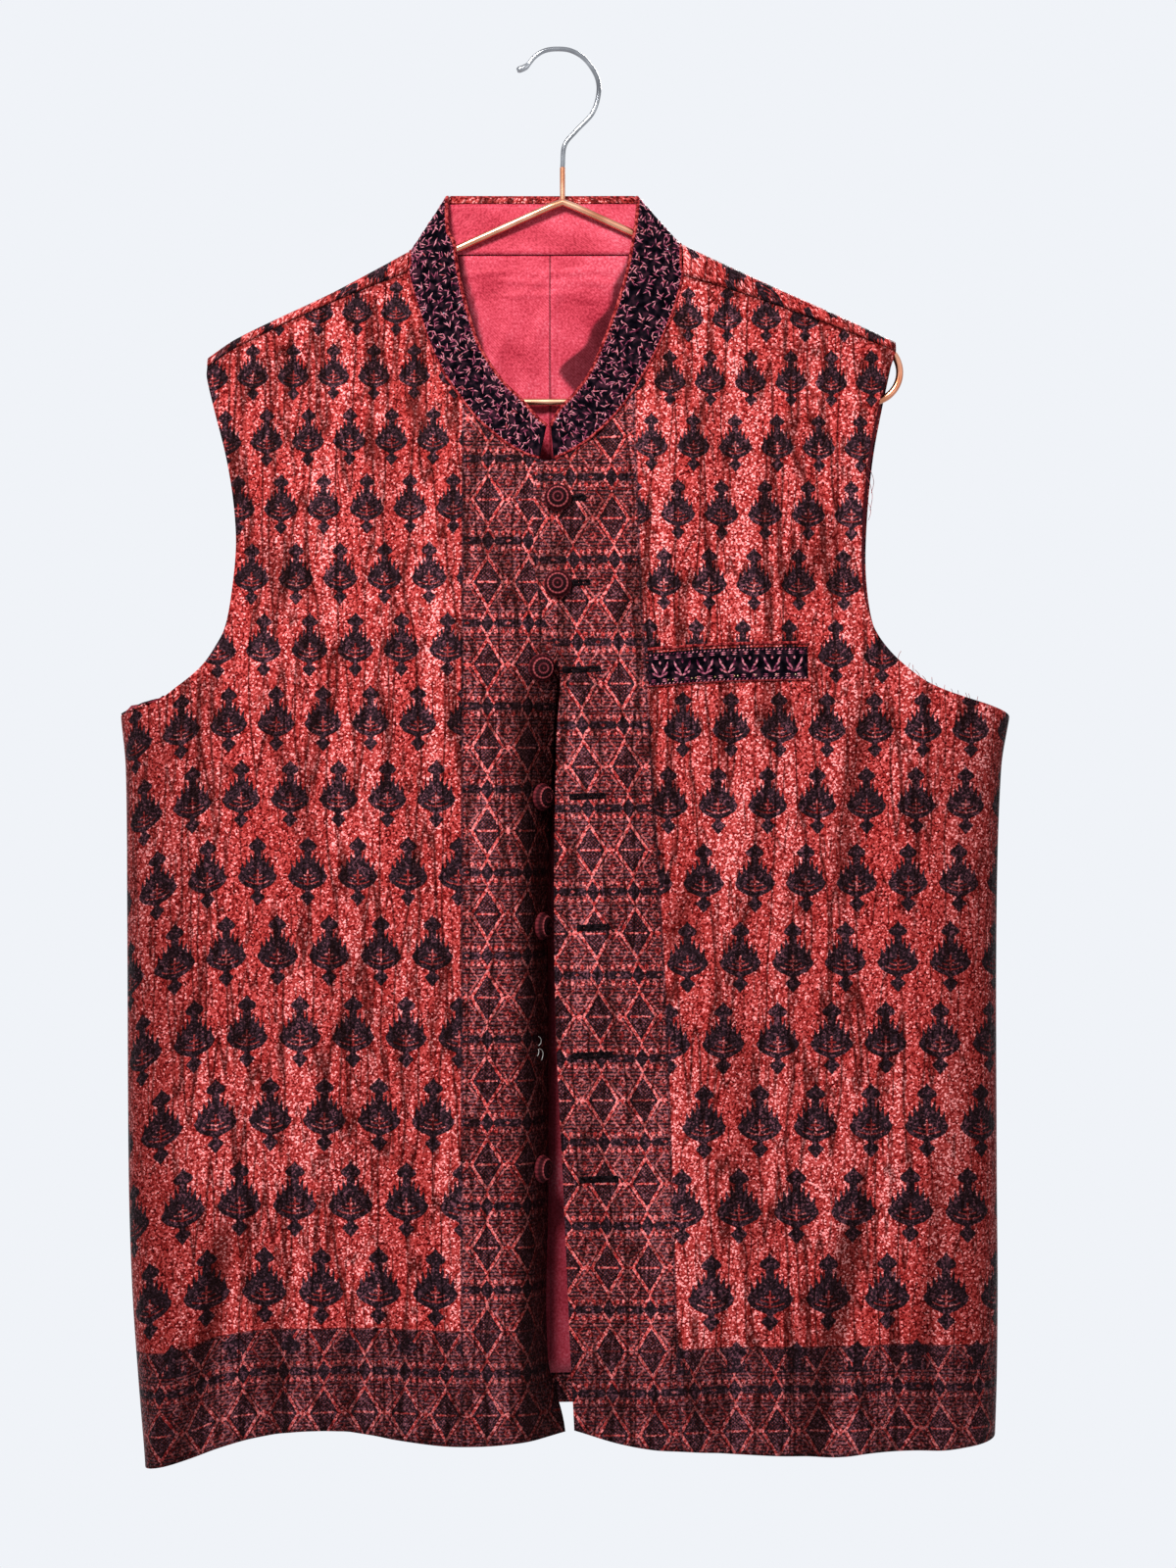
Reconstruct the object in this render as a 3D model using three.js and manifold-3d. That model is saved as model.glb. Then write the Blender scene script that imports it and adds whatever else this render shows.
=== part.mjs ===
// Band-collar waistcoat in crinkled brocade, buttoned twice at the neck, hung flat on a wire hanger.
// Millimetres. X runs to the viewer's right, Y away from the viewer, Z up.
// The origin is the underside of the hook's crown, where the hanger bears on its peg.
import * as THREE from "three";
import Module from "manifold-3d";

const CLOTH_WALL = 1.5;
const LINING_WALL = 1.0;
const COLLAR_WALL = 2.0;
const WELT_WALL = 1.4;
const GAP = 0.4;

const FOLD_RADIUS = 6;
const SEAM_DEPTH = -4;
const FRONT_ROLL = { reach: 18, cloth: 30 };
const BACK_ROLL = { reach: 14, cloth: 22 };
const CURL = { flat: 19, bend: 12, cloth: 31, angle: 1.08 };

// The front's fall from its shoulder seam to full depth, and how the back falls away from the hanger.
const FRONT_FALL = { height: 115, centre: 5, halfWidth: 235, neck: 80, neckShoulder: 93 };
const BACK_FALL = { from: -130, height: 160, depth: 4 };
// The right front's edge lies this much deeper, under the left front.
const UNDERLAP = { from: -48, width: 30, depth: 2 };
const FLATTEST_CURL = 0.02;
const FOLD_OPENING = 260;

const UNDERARM = -419;
const HEM_AT_SEAM = { front: 285, back: 280 };
const NECK_CORNER = 22;

// The net of each cloth: rows of cells, and columns as runs of [from, to, cells] in shares of the width.
const ROWS_BELOW_ARM = 10;
const ROWS_BELOW_NECK = 13;
const BACK_ROWS_ABOVE_ARM = 9;
const WRAP_ROWS = 6;
const LEFT_COLUMNS = [[0, 0.14, 3], [0.14, 0.89, 16], [0.89, 1, 5]];
const RIGHT_COLUMNS = [[0, 0.11, 5], [0.11, 0.89, 16], [0.89, 1, 5]];
const BACK_COLUMNS = { roll: 4, shoulder: 6, neck: 10, rollShare: 0.045 };
const WELT_COLUMNS = 12;
const NORMAL_STEP = 0.2;

// The top of each shoulder fold, and how far down the front the back reaches to its seam.
const SHOULDERS = {
  left: [
    { x: -218, fold: -192.5, drop: 6.5 },
    { x: -200, fold: -180.3, drop: 6.5 },
    { x: -139, fold: -151, drop: 7 },
    { x: -92.5, fold: -126, drop: 13.5 },
  ],
  right: [
    { x: 80, fold: -121.5, drop: 20 },
    { x: 125, fold: -142.5, drop: 13 },
    { x: 180, fold: -167.2, drop: 8.5 },
    { x: 213, fold: -182.5, drop: 6.5 },
  ],
};
const NECK_LEFT = SHOULDERS.left.at(-1).x;
const NECK_RIGHT = SHOULDERS.right[0].x;

// Half outline of the closed body below the armholes.
const SIDES = [
  { z: -890, left: -256, right: 274 },
  { z: -830, left: -261, right: 276 },
  { z: -770, left: -265, right: 276.5 },
  { z: -700, left: -267, right: 276 },
  { z: -540, left: -268, right: 276 },
  { z: -450, left: -269, right: 279 },
  { z: -419, left: -272, right: 284 },
];

// How far the fronts stand out at the middle and at the sides.
const FRONT_DEPTHS = [
  { z: -890, middle: -40, side: -27 },
  { z: -750, middle: -38, side: -27 },
  { z: -600, middle: -36, side: -25 },
  { z: -420, middle: -33, side: -20 },
  { z: -340, middle: -30, side: -14 },
  { z: -260, middle: -24, side: -10 },
  { z: -200, middle: -14, side: -8 },
  { z: -140, middle: -7, side: -7 },
];

// Centre-front edges: the left front's free edge, and the hinge and curl of the right front under it.
const FRONT_EDGES = [
  { z: -890, over: 12, hinge: -41, curl: 0.4 },
  { z: -860, over: 12, hinge: -41, curl: 0.45 },
  { z: -820, over: 10, hinge: -42, curl: 1 },
  { z: -706, over: 5, hinge: -42, curl: 1 },
  { z: -610, over: 0.5, hinge: -42, curl: 1 },
  { z: -520, over: -0.5, hinge: -42, curl: 1 },
  { z: -430, over: 1, hinge: -45, curl: 0.6 },
  { z: -388, over: 2.5, hinge: -46.5, curl: 0.25 },
  { z: -338, over: -11.5, hinge: -36, curl: 0 },
  { z: -262, over: -13.5, hinge: -36, curl: 0 },
];

// Hems, along their width.
const HEMS = {
  right_front: [
    { x: -300, z: -886 },
    { x: -270, z: -886 },
    { x: -240, z: -881 },
    { x: -208, z: -870 },
    { x: -160, z: -859 },
    { x: -130, z: -859 },
    { x: -84, z: -865 },
    { x: -38, z: -866 },
    { x: 10, z: -860 },
  ],
  left_front: [
    { x: 12, z: -856 },
    { x: 39, z: -864 },
    { x: 70, z: -869 },
    { x: 146, z: -874 },
    { x: 240, z: -871 },
    { x: 270, z: -867 },
    { x: 300, z: -864 },
  ],
  back: [
    { x: -290, z: -885 },
    { x: -240, z: -872 },
    { x: -150, z: -857 },
    { x: 0, z: -850 },
    { x: 150, z: -853 },
    { x: 240, z: -859 },
    { x: 300, z: -863 },
  ],
};

// Armholes from below the arm up to the shoulder, on the cloth laid flat.
const ARMHOLES = {
  right_front: [
    { x: -252, z: -411 },
    { x: -234, z: -399 },
    { x: -220, z: -387 },
    { x: -211, z: -374 },
    { x: -205, z: -361 },
    { x: -201, z: -337 },
    { x: -199, z: -310 },
    { x: -201, z: -283 },
    { x: -206, z: -255 },
    { x: -213, z: -228 },
    { x: -218, z: -207 },
  ],
  left_front: [
    { x: 270, z: -411 },
    { x: 236, z: -399 },
    { x: 217, z: -386 },
    { x: 204.5, z: -373 },
    { x: 197, z: -360 },
    { x: 192, z: -342 },
    { x: 190.5, z: -318 },
    { x: 192, z: -285 },
    { x: 196, z: -252 },
    { x: 203, z: -220 },
  ],
  back_left: [
    { x: -252, z: -409 },
    { x: -226, z: -391 },
    { x: -211, z: -372 },
    { x: -204, z: -345 },
    { x: -201, z: -310 },
    { x: -204, z: -265 },
    { x: -212, z: -230 },
  ],
  back_right: [
    { x: 268, z: -411 },
    { x: 234, z: -400 },
    { x: 217, z: -387 },
    { x: 206.5, z: -374 },
    { x: 200.5, z: -360 },
    { x: 197, z: -342 },
    { x: 195.5, z: -318 },
    { x: 197, z: -285 },
    { x: 200.5, z: -252 },
    { x: 206, z: -222 },
  ],
};

// The neck seam and, above it, the collar's top edge. The first row is the corner of the button stand.
const NECK = {
  right_front: [
    { x: 14, z: -262 },
    { x: -10, z: -258.5, topX: -5.5, topZ: -237.5 },
    { x: -20, z: -255, topX: -12, topZ: -232 },
    { x: -33, z: -247, topX: -21, topZ: -221.5 },
    { x: -49, z: -233, topX: -32.5, topZ: -210 },
    { x: -61.5, z: -216.5, topX: -41, topZ: -198 },
    { x: -71, z: -202, topX: -48.5, topZ: -185 },
    { x: -79, z: -185, topX: -53.5, topZ: -170 },
    { x: -85, z: -167, topX: -58, topZ: -154 },
    { x: -89.5, z: -152, topX: -61.5, topZ: -138 },
    { x: -92.5, z: -139.9, topX: -64, topZ: -121 },
  ],
  left_front: [
    { x: -13.5, z: -262 },
    { x: -1, z: -259, topX: -2.8, topZ: -238 },
    { x: 10.5, z: -253.5, topX: 3.7, topZ: -227 },
    { x: 24, z: -244, topX: 12.3, topZ: -217.5 },
    { x: 40.5, z: -227, topX: 22, topZ: -203.5 },
    { x: 54, z: -206.5, topX: 30, topZ: -184.5 },
    { x: 64, z: -188, topX: 37, topZ: -166 },
    { x: 73, z: -167, topX: 43.7, topZ: -145 },
    { x: 77.5, z: -153, topX: 47, topZ: -130 },
    { x: 80, z: -141.9, topX: 49.5, topZ: -116 },
  ],
};
const BACK_NECK = -127.5;
// The collar's top edge at the back and over the shoulders, and how it rounds into the front.
const COLLAR_TOP = {
  z: -90.5,
  left: -69,
  right: 52,
  depth: 7.5,
  front: 9.5,
  start: 2,
  corner: 3,
  rise: 1.7,
  bow: 0.8,
};
const COLLAR_CLEARANCE = { shoulder: 3 * GAP, back: GAP / 80 };
const COLLAR_LINING = { from: 0.08, to: 0.87 };
const COLLAR_ROWS = { band: 3, lining: 2 };

// Standing folds that open towards the hem: place, height where they begin, half width and depth.
const FOLDS = {
  right_front: [
    { x: -226, from: -560, half: 15, depth: 4 },
    { x: -190, from: -640, half: 15, depth: -3 },
    { x: -157, from: -760, half: 15, depth: 7 },
    { x: -108, from: -480, half: 20, depth: -2.5 },
    { x: -66, from: -560, half: 16, depth: 2 },
  ],
  left_front: [
    { x: 52, from: -520, half: 18, depth: 2 },
    { x: 112, from: -560, half: 20, depth: -2.5 },
    { x: 168, from: -660, half: 15, depth: 5 },
    { x: 210, from: -560, half: 16, depth: -3 },
    { x: 238, from: -470, half: 14, depth: 2.5 },
  ],
  back: [
    { x: -200, from: -520, half: 20, depth: -3 },
    { x: -110, from: -420, half: 24, depth: 3 },
    { x: -20, from: -560, half: 22, depth: -2 },
    { x: 70, from: -480, half: 24, depth: 3 },
    { x: 160, from: -540, half: 22, depth: -3 },
    { x: 226, from: -600, half: 18, depth: 2 },
  ],
};

// Shares of one grid cell by which the lining's edges lie inside the back's.
const LINING_INSET = { hem: 0.4, neck: 0.16, side: 0.6, armhole: 0.25 };

const WELT = { left: 57.5, right: 156, low: -399.5, high: -380.5, rise: 4.5, bow: 1.2 };
const BUTTON = { radius: 8.5, height: 7, fromEdge: 12, lift: GAP + 0.4, seatStep: 6, sides: 12 };
const BUTTONED = { x: 1.8, heights: { button_1: -283.5, button_2: -337 } };
const LOOSE_HEIGHTS = { button_3: -388, button_4: -468, button_5: -548, button_7: -698 };

const HANGER = { middle: 4.3, apex: -94.1, slope: 0.45, bar: -220.2, halfWidth: 211.7, loop: 18.7 };
const WIRE = { frame: 2.3, stem: 1.7, hook: 1.5, sides: 8 };
const FRAME_SPANS = { arm: 10, loop: 8, bar: 4 };
// The bend at the apex is rounded by this much, and the neck wire runs down into it.
const APEX_ROUNDING = 0.6;
const STEM_HEIGHTS = [-73, -80, -87, HANGER.apex - 5];
// The hook's last points swell into a rounded tip.
const HOOK_SPANS = 26;
const HOOK_TIP = [1.35, 1.45, 0.8];
const HOOK = [
  { x: 4.3, z: -72.6 },
  { x: 5.6, z: -59 },
  { x: 12.9, z: -49.8 },
  { x: 23.1, z: -38.7 },
  { x: 27, z: -26 },
  { x: 25.6, z: -15.5 },
  { x: 18.5, z: -5 },
  { x: 9.5, z: 0.5 },
  { x: 0, z: 1.5 },
  { x: -7.5, z: 0.2 },
  { x: -13.5, z: -3.7 },
  { x: -18.5, z: -9.5 },
  { x: -24.3, z: -12 },
];

const COLOURS = {
  brocade: 0x8e2f35,
  lining: 0xb83545,
  collar: 0x2a1a22,
  button: 0x3a1a22,
  copper: 0xd08a66,
  chrome: 0xc8c9cc,
};

// ---- small helpers -------------------------------------------------------------------------

const mix = (a, b, t) => a + (b - a) * t;
const ease = (t) => {
  const c = Math.min(Math.max(t, 0), 1);
  return c * c * (3 - 2 * c);
};

// The value of one column of a table at a place along its key column, smoothly between rows.
function read(table, key, place, column) {
  const rows = table[0][key] < table[1][key] ? table : [...table].reverse();
  const last = rows.length - 1;
  const at = Math.min(Math.max(place, rows[0][key]), rows[last][key]);
  let i = 0;
  while (i < last - 1 && at > rows[i + 1][key]) i++;
  const slope = (k) => {
    const [a, b] = [rows[Math.max(k - 1, 0)], rows[Math.min(k + 1, last)]];
    return (b[column] - a[column]) / (b[key] - a[key]);
  };
  const width = rows[i + 1][key] - rows[i][key];
  const t = (at - rows[i][key]) / width;
  const [t2, t3] = [t * t, t * t * t];
  return (
    rows[i][column] * (2 * t3 - 3 * t2 + 1) +
    slope(i) * width * (t3 - 2 * t2 + t) +
    rows[i + 1][column] * (3 * t2 - 2 * t3) +
    slope(i + 1) * width * (t3 - t2)
  );
}

const shoulderAt = (x) => {
  const table = x < 0 ? SHOULDERS.left : SHOULDERS.right;
  return { fold: read(table, "x", x, "fold"), drop: read(table, "x", x, "drop") };
};

function foldsAt(folds, x, z) {
  let depth = 0;
  for (const f of folds) {
    const grown = ease((f.from - z) / FOLD_OPENING);
    depth += f.depth * grown * Math.exp(-(((x - f.x) / f.half) ** 2));
  }
  return depth;
}

// ---- the surfaces of the cloth -------------------------------------------------------------

// Rolls cloth round the side of the body: flat width in, place and depth out.
function rollSide(flat, z, depth, roll) {
  const side = flat < 0 ? -1 : 1;
  const outline = Math.abs(read(SIDES, "z", z, side < 0 ? "left" : "right"));
  const start = outline - roll.reach;
  if (side * flat <= start) return new THREE.Vector3(flat, depth, z);
  const angle = (((side * flat - start) / roll.cloth) * Math.PI) / 2;
  return new THREE.Vector3(
    side * (start + roll.reach * Math.sin(angle)),
    depth + (SEAM_DEPTH - depth) * (1 - Math.cos(angle)),
    z,
  );
}

const sideFlat = (side, z, roll) =>
  (side < 0 ? -1 : 1) *
  (Math.abs(read(SIDES, "z", z, side < 0 ? "left" : "right")) - roll.reach + roll.cloth - GAP / 2);

function frontDepth(x, z, folds) {
  const { height, centre, halfWidth, neck, neckShoulder } = FRONT_FALL;
  const { fold, drop } = shoulderAt(Math.abs(x) < neck ? Math.sign(x) * neckShoulder : x);
  const below = ease((fold - drop - z) / height);
  const wide = ease(Math.abs(x - centre) / halfWidth);
  const full = mix(read(FRONT_DEPTHS, "z", z, "middle"), read(FRONT_DEPTHS, "z", z, "side"), wide);
  return -FOLD_RADIUS + (full + FOLD_RADIUS) * below - foldsAt(folds, x, z);
}

function leftFront(flat, z) {
  return rollSide(flat, z, frontDepth(flat, z, FOLDS.left_front), FRONT_ROLL);
}

// The right front's free edge, on the cloth laid flat.
const rightFrontEdge = (z) => read(FRONT_EDGES, "z", z, "hinge") + CURL.flat + CURL.cloth;

// The right front lies under the left one at the buttons and curls inwards below them.
function rightFront(flat, z) {
  const under = UNDERLAP.depth * ease((flat - UNDERLAP.from) / UNDERLAP.width);
  const hinge = read(FRONT_EDGES, "z", z, "hinge") + CURL.flat;
  const curl = Math.max(read(FRONT_EDGES, "z", z, "curl"), 0) * CURL.angle;
  const depth = frontDepth(Math.min(flat, hinge), z, FOLDS.right_front) + under;
  const past = flat - hinge;
  if (past <= 0 || curl < FLATTEST_CURL) return rollSide(flat, z, depth, FRONT_ROLL);
  const radius = CURL.bend / curl;
  const turned = Math.min(past, CURL.bend) / radius;
  const straight = Math.max(past - CURL.bend, 0);
  return new THREE.Vector3(
    hinge + radius * Math.sin(turned) + straight * Math.cos(turned),
    depth + radius * (1 - Math.cos(turned)) + straight * Math.sin(turned),
    z,
  );
}

// The back hangs behind the hanger and, past the shoulder fold, comes down in front of it.
function back(flat, z) {
  const { fold } = shoulderAt(flat);
  const within = 0.01;
  const neck = flat > NECK_LEFT + within && flat < NECK_RIGHT - within;
  const centre = fold - FOLD_RADIUS;
  const over = z - centre;
  if (neck || over <= 0) {
    const below = ease((BACK_FALL.from - z) / BACK_FALL.height);
    const depth = FOLD_RADIUS + BACK_FALL.depth * below + foldsAt(FOLDS.back, flat, z) * below;
    return rollSide(flat, z, depth, BACK_ROLL);
  }
  const angle = Math.min(over / FOLD_RADIUS, Math.PI);
  const down = Math.max(over - Math.PI * FOLD_RADIUS, 0);
  return new THREE.Vector3(
    flat,
    FOLD_RADIUS * Math.cos(angle),
    centre + FOLD_RADIUS * Math.sin(angle) - down,
  );
}

// ---- solids from surfaces ------------------------------------------------------------------

// Closes two layers of points into one wall, over the cells that are kept.
function wallSolid(outer, inner, kept = () => true) {
  const [rows, columns] = [outer.length, outer[0].length];
  const positions = [...outer.flat(), ...inner.flat()].flatMap((p) => [p.x, p.y, p.z]);
  const id = (layer, [j, i]) => (layer * rows + j) * columns + i;
  const within = (j, i) => j >= 0 && i >= 0 && j < rows - 1 && i < columns - 1 && kept(j, i);
  const faces = [];
  const quad = (a, b, c, d) => faces.push([a, b, c], [a, c, d]);
  for (let j = 0; j < rows - 1; j++)
    for (let i = 0; i < columns - 1; i++) {
      if (!within(j, i)) continue;
      const ring = [[j, i], [j, i + 1], [j + 1, i + 1], [j + 1, i]];
      quad(...ring.map((c) => id(0, c)));
      quad(...[ring[0], ring[3], ring[2], ring[1]].map((c) => id(1, c)));
      [[j - 1, i], [j, i + 1], [j + 1, i], [j, i - 1]].forEach((next, k) => {
        const [a, b] = [ring[k], ring[(k + 1) % 4]];
        if (!within(...next)) quad(id(0, b), id(0, a), id(1, a), id(1, b));
      });
    }
  const across = outer[0][1].clone().sub(outer[0][0]);
  const along = outer[1][0].clone().sub(outer[0][0]);
  const outward = outer[0][0].clone().sub(inner[0][0]);
  if (across.cross(along).dot(outward) < 0) faces.forEach((f) => f.reverse());
  return new THREE.BufferGeometry()
    .setAttribute("position", new THREE.Float32BufferAttribute(positions, 3))
    .setIndex(faces.flat());
}

// The unit normal of a surface, from places one step away on each side.
function normalOf(surface, u, v, step) {
  const du = surface(u + step, v).sub(surface(u - step, v));
  const dv = surface(u, v + step).sub(surface(u, v - step));
  return du.cross(dv).normalize();
}

// Lays a grid of flat places on a surface and gives it a wall; facing is -1 for the back.
function layCloth(grid, surface, facing, wall, lift = 0, kept) {
  const layer = (depth) =>
    grid.map((row) =>
      row.map(([u, v]) => {
        const normal = normalOf(surface, u, v, NORMAL_STEP).multiplyScalar(facing);
        return surface(u, v).addScaledVector(normal, depth);
      }),
    );
  return wallSolid(layer(lift), layer(lift - wall), kept);
}

// Fills a grid between four edges; places are the column positions from 0 to 1.
function fillGrid(places, bottom, top, first, last) {
  const rows = first.length - 1;
  return first.map((_, j) => {
    const t = j / rows;
    return places.map((s, i) =>
      [0, 1].map((k) => {
        const straight = mix(first[j][k], last[j][k], s);
        const low = bottom[i][k] - mix(first[0][k], last[0][k], s);
        const high = top[i][k] - mix(first[rows][k], last[rows][k], s);
        return straight + (1 - t) * low + t * high;
      }),
    );
  });
}

function evenly(points, count) {
  const curve = new THREE.CatmullRomCurve3(
    points.map((p) => new THREE.Vector3(p[0], 0, p[1])),
    false,
    "centripetal",
  );
  return Array.from({ length: count + 1 }, (_, k) => {
    const p = curve.getPointAt(k / count);
    return [p.x, p.z];
  });
}

const spread = (...parts) =>
  parts.flatMap(([from, to, count], k) =>
    Array.from({ length: count + (k === parts.length - 1 ? 1 : 0) }, (_, i) =>
      mix(from, to, i / count),
    ),
  );

// ---- cloth pieces --------------------------------------------------------------------------

function sideEdge(side, hem, roll, armhole, end, rowsAbove) {
  const edge = [];
  for (let j = 0; j <= ROWS_BELOW_ARM; j++) {
    const z = mix(hem, UNDERARM, j / ROWS_BELOW_ARM);
    edge.push([sideFlat(side, z, roll), z]);
  }
  const above = evenly([edge.at(-1), ...armhole.map((p) => [p.x, p.z]), end], rowsAbove);
  return [...edge, ...above.slice(1)];
}

function hemLine(places, from, to, hem) {
  return places.map((s) => {
    const x = mix(from, to, s);
    return [x, read(hem, "x", x, "z")];
  });
}

function seamLine(places, from, to) {
  return places.map((s) => {
    const x = mix(from, to, s);
    const { fold, drop } = shoulderAt(x);
    return [x, fold - drop - GAP];
  });
}

function frontGrid(name, side, edgeAt, places) {
  const neck = NECK[name].map((p) => [p.x, p.z]);
  const hem = HEMS[name];
  const lowX = edgeAt(hem[side < 0 ? hem.length - 1 : 0].z);
  const lowZ = read(hem, "x", lowX, "z");
  const inner = [];
  for (let j = 0; j < ROWS_BELOW_NECK; j++) {
    const z = mix(lowZ, neck[0][1], j / ROWS_BELOW_NECK);
    inner.push([edgeAt(z), z]);
  }
  inner.push(...neck);
  const rows = inner.length - 1;
  const tip = side < 0 ? SHOULDERS.left[0] : SHOULDERS.right.at(-1);
  const hemSide = read(hem, "x", side * HEM_AT_SEAM.front, "z");
  const end = [tip.x, tip.fold - tip.drop - GAP];
  const outer = sideEdge(side, hemSide, FRONT_ROLL, ARMHOLES[name], end, rows - ROWS_BELOW_ARM);
  const bottom = hemLine(places, inner[0][0], outer[0][0], hem);
  const top = seamLine(places, inner[rows][0], tip.x);
  return fillGrid(places, bottom, top, inner, outer);
}

function leftFrontGrid() {
  const edge = (z) => read(FRONT_EDGES, "z", z, "over");
  return frontGrid("left_front", 1, edge, spread(...LEFT_COLUMNS));
}

function rightFrontGrid() {
  return frontGrid("right_front", -1, rightFrontEdge, spread(...RIGHT_COLUMNS));
}

// Height of the back's top edge before it turns over: the neck seam, or the start of a fold.
function backTop(x) {
  if (x <= NECK_LEFT || x >= NECK_RIGHT) return shoulderAt(x).fold - FOLD_RADIUS;
  const inset = Math.min(x - NECK_LEFT, NECK_RIGHT - x);
  return mix(backTop(x < 0 ? NECK_LEFT : NECK_RIGHT), BACK_NECK, ease(inset / NECK_CORNER));
}

function backGrid() {
  const [tipLeft, tipRight] = [SHOULDERS.left[0], SHOULDERS.right.at(-1)];
  const share = (x) => (x - tipLeft.x) / (tipRight.x - tipLeft.x);
  const { roll, shoulder, neck, rollShare } = BACK_COLUMNS;
  const places = spread(
    [0, rollShare, roll],
    [rollShare, share(NECK_LEFT), shoulder],
    [share(NECK_LEFT), share(NECK_RIGHT), neck],
    [share(NECK_RIGHT), 1 - rollShare, shoulder],
    [1 - rollShare, 1, roll],
  );
  const edge = (side, name, tip) => {
    const hem = read(HEMS.back, "x", side * HEM_AT_SEAM.back, "z");
    const end = [tip.x, tip.fold - FOLD_RADIUS];
    return sideEdge(side, hem, BACK_ROLL, ARMHOLES[name], end, BACK_ROWS_ABOVE_ARM);
  };
  const first = edge(-1, "back_left", tipLeft);
  const last = edge(1, "back_right", tipRight);
  const bottom = hemLine(places, first[0][0], last[0][0], HEMS.back);
  const top = places.map((s) => {
    const x = mix(tipLeft.x, tipRight.x, s);
    return [x, backTop(x)];
  });
  return fillGrid(places, bottom, top, first, last);
}

// Rows that carry the shoulders over the fold and down to the seams in front.
function wrapRows(topRow) {
  return Array.from({ length: WRAP_ROWS }, (_, k) =>
    topRow.map(([x, z]) => {
      const length = Math.PI * FOLD_RADIUS + shoulderAt(x).drop - FOLD_RADIUS;
      return [x, z + (length * (k + 1)) / WRAP_ROWS];
    }),
  );
}

function backSolid(grid) {
  const body = grid.length - 1;
  const { roll, shoulder, neck } = BACK_COLUMNS;
  const kept = (j, i) => j < body || i < roll + shoulder || i >= roll + shoulder + neck;
  return layCloth([...grid, ...wrapRows(grid[body])], back, -1, CLOTH_WALL, 0, kept);
}

// Satin inside the back: the same grid with its edges drawn in, and a hem of its own above the back's.
function backLiningSolid(grid) {
  const between = (a, b, t) => a.map((p, i) => [0, 1].map((k) => mix(p[k], b[i][k], t)));
  const rows = [...grid];
  rows[0] = between(grid[0], grid[1], LINING_INSET.hem);
  rows[grid.length - 1] = between(grid.at(-1), grid.at(-2), LINING_INSET.neck);
  const inset = rows.map((row, j) => {
    const share = j > ROWS_BELOW_ARM ? LINING_INSET.armhole : LINING_INSET.side;
    const [first, last] = [row[0], row.at(-1)];
    const draw = (a, b) => [0, 1].map((k) => mix(a[k], b[k], share));
    return [draw(first, row[1]), ...row.slice(1, -1), draw(last, row.at(-2))];
  });
  return layCloth(inset, back, -1, LINING_WALL, -CLOTH_WALL - GAP);
}

// ---- collar --------------------------------------------------------------------------------

// Where the collar starts, seam by seam, from the right front's end round the neck to the left front's.
function collarEdges() {
  const low = [];
  const high = [];
  const frontPart = (name, surface) =>
    NECK[name].slice(1).map((p, k, all) => {
      const seam = surface(p.x, p.z);
      const depth = mix(seam.y + COLLAR_TOP.start, -COLLAR_TOP.front, (k / (all.length - 1)) ** 2);
      return [seam, new THREE.Vector3(p.topX, depth, p.topZ)];
    });
  const wrapPart = (x, side, frontTop) =>
    Array.from({ length: WRAP_ROWS - 1 }, (_, k) => {
      const share = (WRAP_ROWS - 1 - k) / WRAP_ROWS;
      const { fold, drop } = shoulderAt(x);
      const length = Math.PI * FOLD_RADIUS + drop - FOLD_RADIUS;
      const seam = back(x, fold - FOLD_RADIUS + length * share);
      seam.x -= side * COLLAR_CLEARANCE.shoulder;
      const turn = (0.5 - share) * Math.PI;
      const depth = (turn < 0 ? COLLAR_TOP.front : COLLAR_TOP.depth) * Math.sin(turn);
      const corner = side * COLLAR_TOP.corner * (1 - Math.cos(turn));
      const topX = (side < 0 ? COLLAR_TOP.left : COLLAR_TOP.right) - corner;
      const topZ = mix(frontTop, COLLAR_TOP.z, ease(COLLAR_TOP.rise * (1 - share)));
      return [seam, new THREE.Vector3(topX, depth, topZ)];
    });
  const backPart = spread([0, 1, BACK_COLUMNS.neck]).map((s) => {
    const x = mix(NECK_LEFT, NECK_RIGHT, s);
    const seam = back(x, backTop(x));
    seam.x *= 1 - COLLAR_CLEARANCE.back;
    const topX = mix(COLLAR_TOP.left + COLLAR_TOP.corner, COLLAR_TOP.right - COLLAR_TOP.corner, s);
    const depth = COLLAR_TOP.depth + COLLAR_TOP.bow * Math.sin(Math.PI * s);
    return [seam, new THREE.Vector3(topX, depth, COLLAR_TOP.z)];
  });
  const all = [
    ...frontPart("right_front", rightFront),
    ...wrapPart(NECK_LEFT, -1, NECK.right_front.at(-1).topZ),
    ...backPart,
    ...wrapPart(NECK_RIGHT, 1, NECK.left_front.at(-1).topZ).reverse(),
    ...frontPart("left_front", leftFront).reverse(),
  ];
  for (const [seam, top] of all) {
    const rise = top.clone().sub(seam).normalize();
    low.push(seam.clone().addScaledVector(rise, GAP));
    high.push(top);
  }
  return { low, high };
}

// Level normals of a grid of points, pointing out of the neck.
function gridNormals(points) {
  const pick = (j, i) =>
    points[Math.min(Math.max(j, 0), points.length - 1)][Math.min(Math.max(i, 0), points[0].length - 1)];
  return points.map((row, j) =>
    row.map((_, i) => {
      const across = pick(j, i + 1).clone().sub(pick(j, i - 1));
      const up = pick(j + 1, i).clone().sub(pick(j - 1, i));
      return up.cross(across).setZ(0).normalize();
    }),
  );
}

function bandSolid(edges, from, to, rows, lift, wall) {
  const points = Array.from({ length: rows + 1 }, (_, j) =>
    edges.low.map((low, i) => low.clone().lerp(edges.high[i], mix(from, to, j / rows))),
  );
  const normals = gridNormals(points);
  const layer = (depth) =>
    points.map((row, j) => row.map((p, i) => p.clone().addScaledVector(normals[j][i], depth)));
  return wallSolid(layer(lift), layer(lift - wall));
}

// ---- trims ---------------------------------------------------------------------------------

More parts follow.
